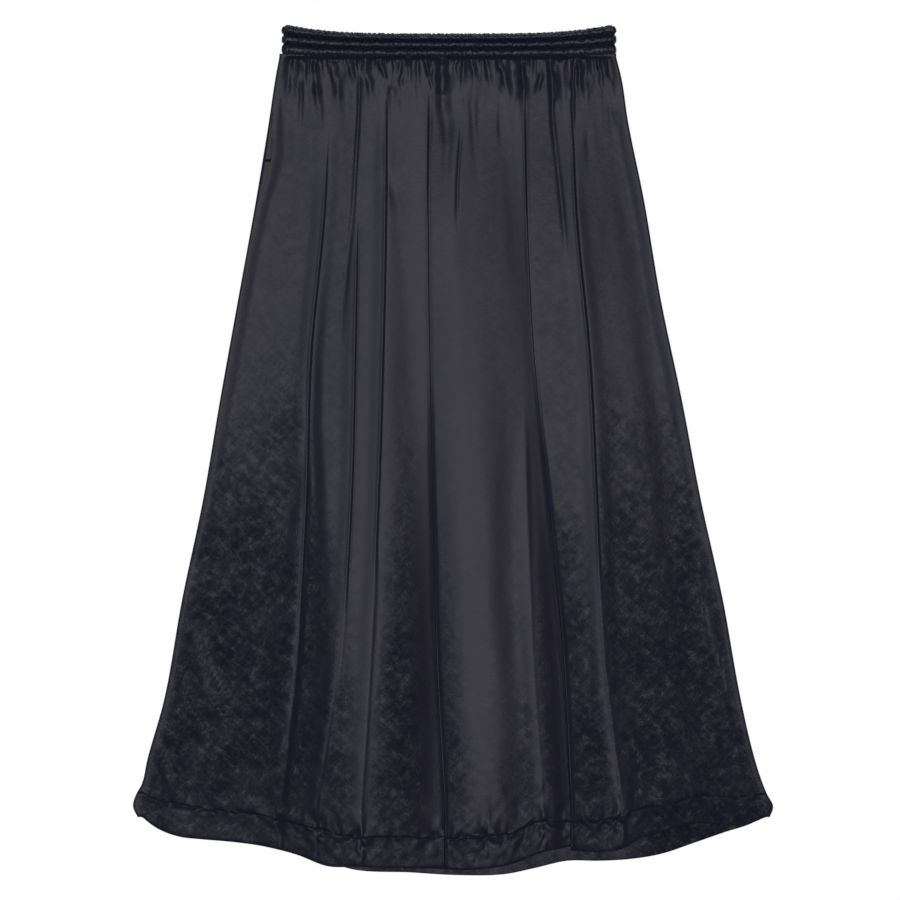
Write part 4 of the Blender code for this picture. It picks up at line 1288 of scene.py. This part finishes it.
# Sewing thread: each row is one stitch, modelled once and copied along its line
sewing = {
    "hem": {"pitch": 2.6, "length": 2.0, "radius": 0.15},
    "band": {"pitch": 3.1, "length": 2.3, "radius": 0.15},
    "tack": {"threads": 15, "length": 3.5, "radius": 0.27, "across": -208.0, "drop": 153.9,
             "width": 6.2, "top": 3.62, "lean": 0.10},
    "frontLift": 0.02, "backLift": 0.17, "bandLift": 0.03,     # of the stitches above their lines
    "blunt": 0.7,              # how blunt a stitch's ends are: less is blunter
    "dive": 0.6,               # how far its ends go down, in thread radii
    "probe": 0.8,              # distance on each side over which its slope is taken
    "leastRun": 0.9,           # no stitch where the line runs less than this across between its probes
}


def makeStitch(length, radius):
    deselectAll()
    bpy.ops.mesh.primitive_uv_sphere_add(
        segments=8, ring_count=6, radius=radius * mm, rotation=(0, math.pi / 2, 0))
    stitch = bpy.context.object
    bpy.ops.object.transform_apply(location=True, rotation=True, scale=True)
    for vertex in stitch.data.vertices:
        share = vertex.co.x / (radius * mm)
        vertex.co.x = length / 2 * mm * math.copysign(abs(share) ** sewing["blunt"], share)
        vertex.co.z -= sewing["dive"] * radius * mm * share * share
    bpy.ops.object.shade_smooth()
    return stitch


def copyStitches(name, stitch, places, material):
    # places: across, drop, height in millimetres, the way it points and its slope in radians
    copies = []
    for across, drop, height, heading, slope in places:
        copy = stitch.copy()
        copy.data = stitch.data.copy()
        copy.location = (across * mm, (cut["length"] / 2 - drop) * mm, height * mm)
        copy.rotation_euler = (0, -slope, heading)
        bpy.context.collection.objects.link(copy)
        copies.append(copy)
    bpy.data.objects.remove(stitch, do_unlink=True)
    useAlone(copies[0])
    for copy in copies:
        copy.select_set(True)
    bpy.ops.object.join()
    bpy.ops.object.transform_apply(location=True, rotation=True, scale=True)
    row = bpy.context.object
    row.name = name
    row.data.materials.clear()
    row.data.materials.append(material)
    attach(row, body)
    print(name, len(copies), "stitches")
    return row


def stitchPlaces(line, pitch, lift):
    # evenly along a line of (across, drop, height)
    points = np.stack(line, axis=-1)
    reach = np.concatenate(([0.0], np.cumsum(np.linalg.norm(np.diff(points, axis=0), axis=1))))
    places = []
    for middle in np.arange(pitch, reach[-1] - pitch, pitch):
        stations = (middle - sewing["probe"], middle, middle + sewing["probe"])
        before, here, after = ([np.interp(s, reach, points[:, k]) for k in range(3)] for s in stations)
        run = after[0] - before[0]
        if run < sewing["leastRun"]:
            continue                                # the cloth turns away under a fold here
        places.append((here[0], here[1], here[2] + lift, math.atan2(before[1] - after[1], run),
                       math.atan2(after[2] - before[2], run)))
    return places


def sewLines(name, lines, size, lift, material):
    stitch = makeStitch(size["length"], size["radius"])
    places = [place for line in lines for place in stitchPlaces(line, size["pitch"], lift)]
    copyStitches(name, stitch, places, material)


def makeBarTack(material):
    # threads side by side that lean by turns, over two laid across them
    tack = sewing["tack"]
    stitch = makeStitch(tack["length"], tack["radius"])
    places = []
    for k in range(tack["threads"]):
        share = k / (tack["threads"] - 1) - 0.5
        lean = tack["lean"] if k % 2 else -tack["lean"]
        places.append((tack["across"] + tack["width"] * share, tack["drop"] + 0.12 * math.sin(k * 2.4),
                       tack["top"] + 0.05 * math.sin(k * 1.7), math.pi / 2 + lean, 0.0))
    for side in (-1.0, 1.0):
        places.append((tack["across"], tack["drop"] + side, tack["top"] - 0.2, 0.0, 0.0))
    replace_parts(copyStitches("barTackThread", stitch, places, material), "bar_tack")


makeBack()
backStitchLine = makeBackHem()
makeFront()
frontStitchLine = makeFrontHem()
grooveStitchLines = makeWaistband()
print("cloth pieces made")

threadLook = threadMaterial()
sewLines("frontHemStitches", [frontStitchLine], sewing["hem"], sewing["frontLift"], threadLook)
sewLines("backHemStitches", [backStitchLine], sewing["hem"], sewing["backLift"], threadLook)
sewLines("waistbandStitches", grooveStitchLines, sewing["band"], sewing["bandLift"], threadLook)
makeBarTack(threadLook)

buildStudio()
print("all pieces in place")
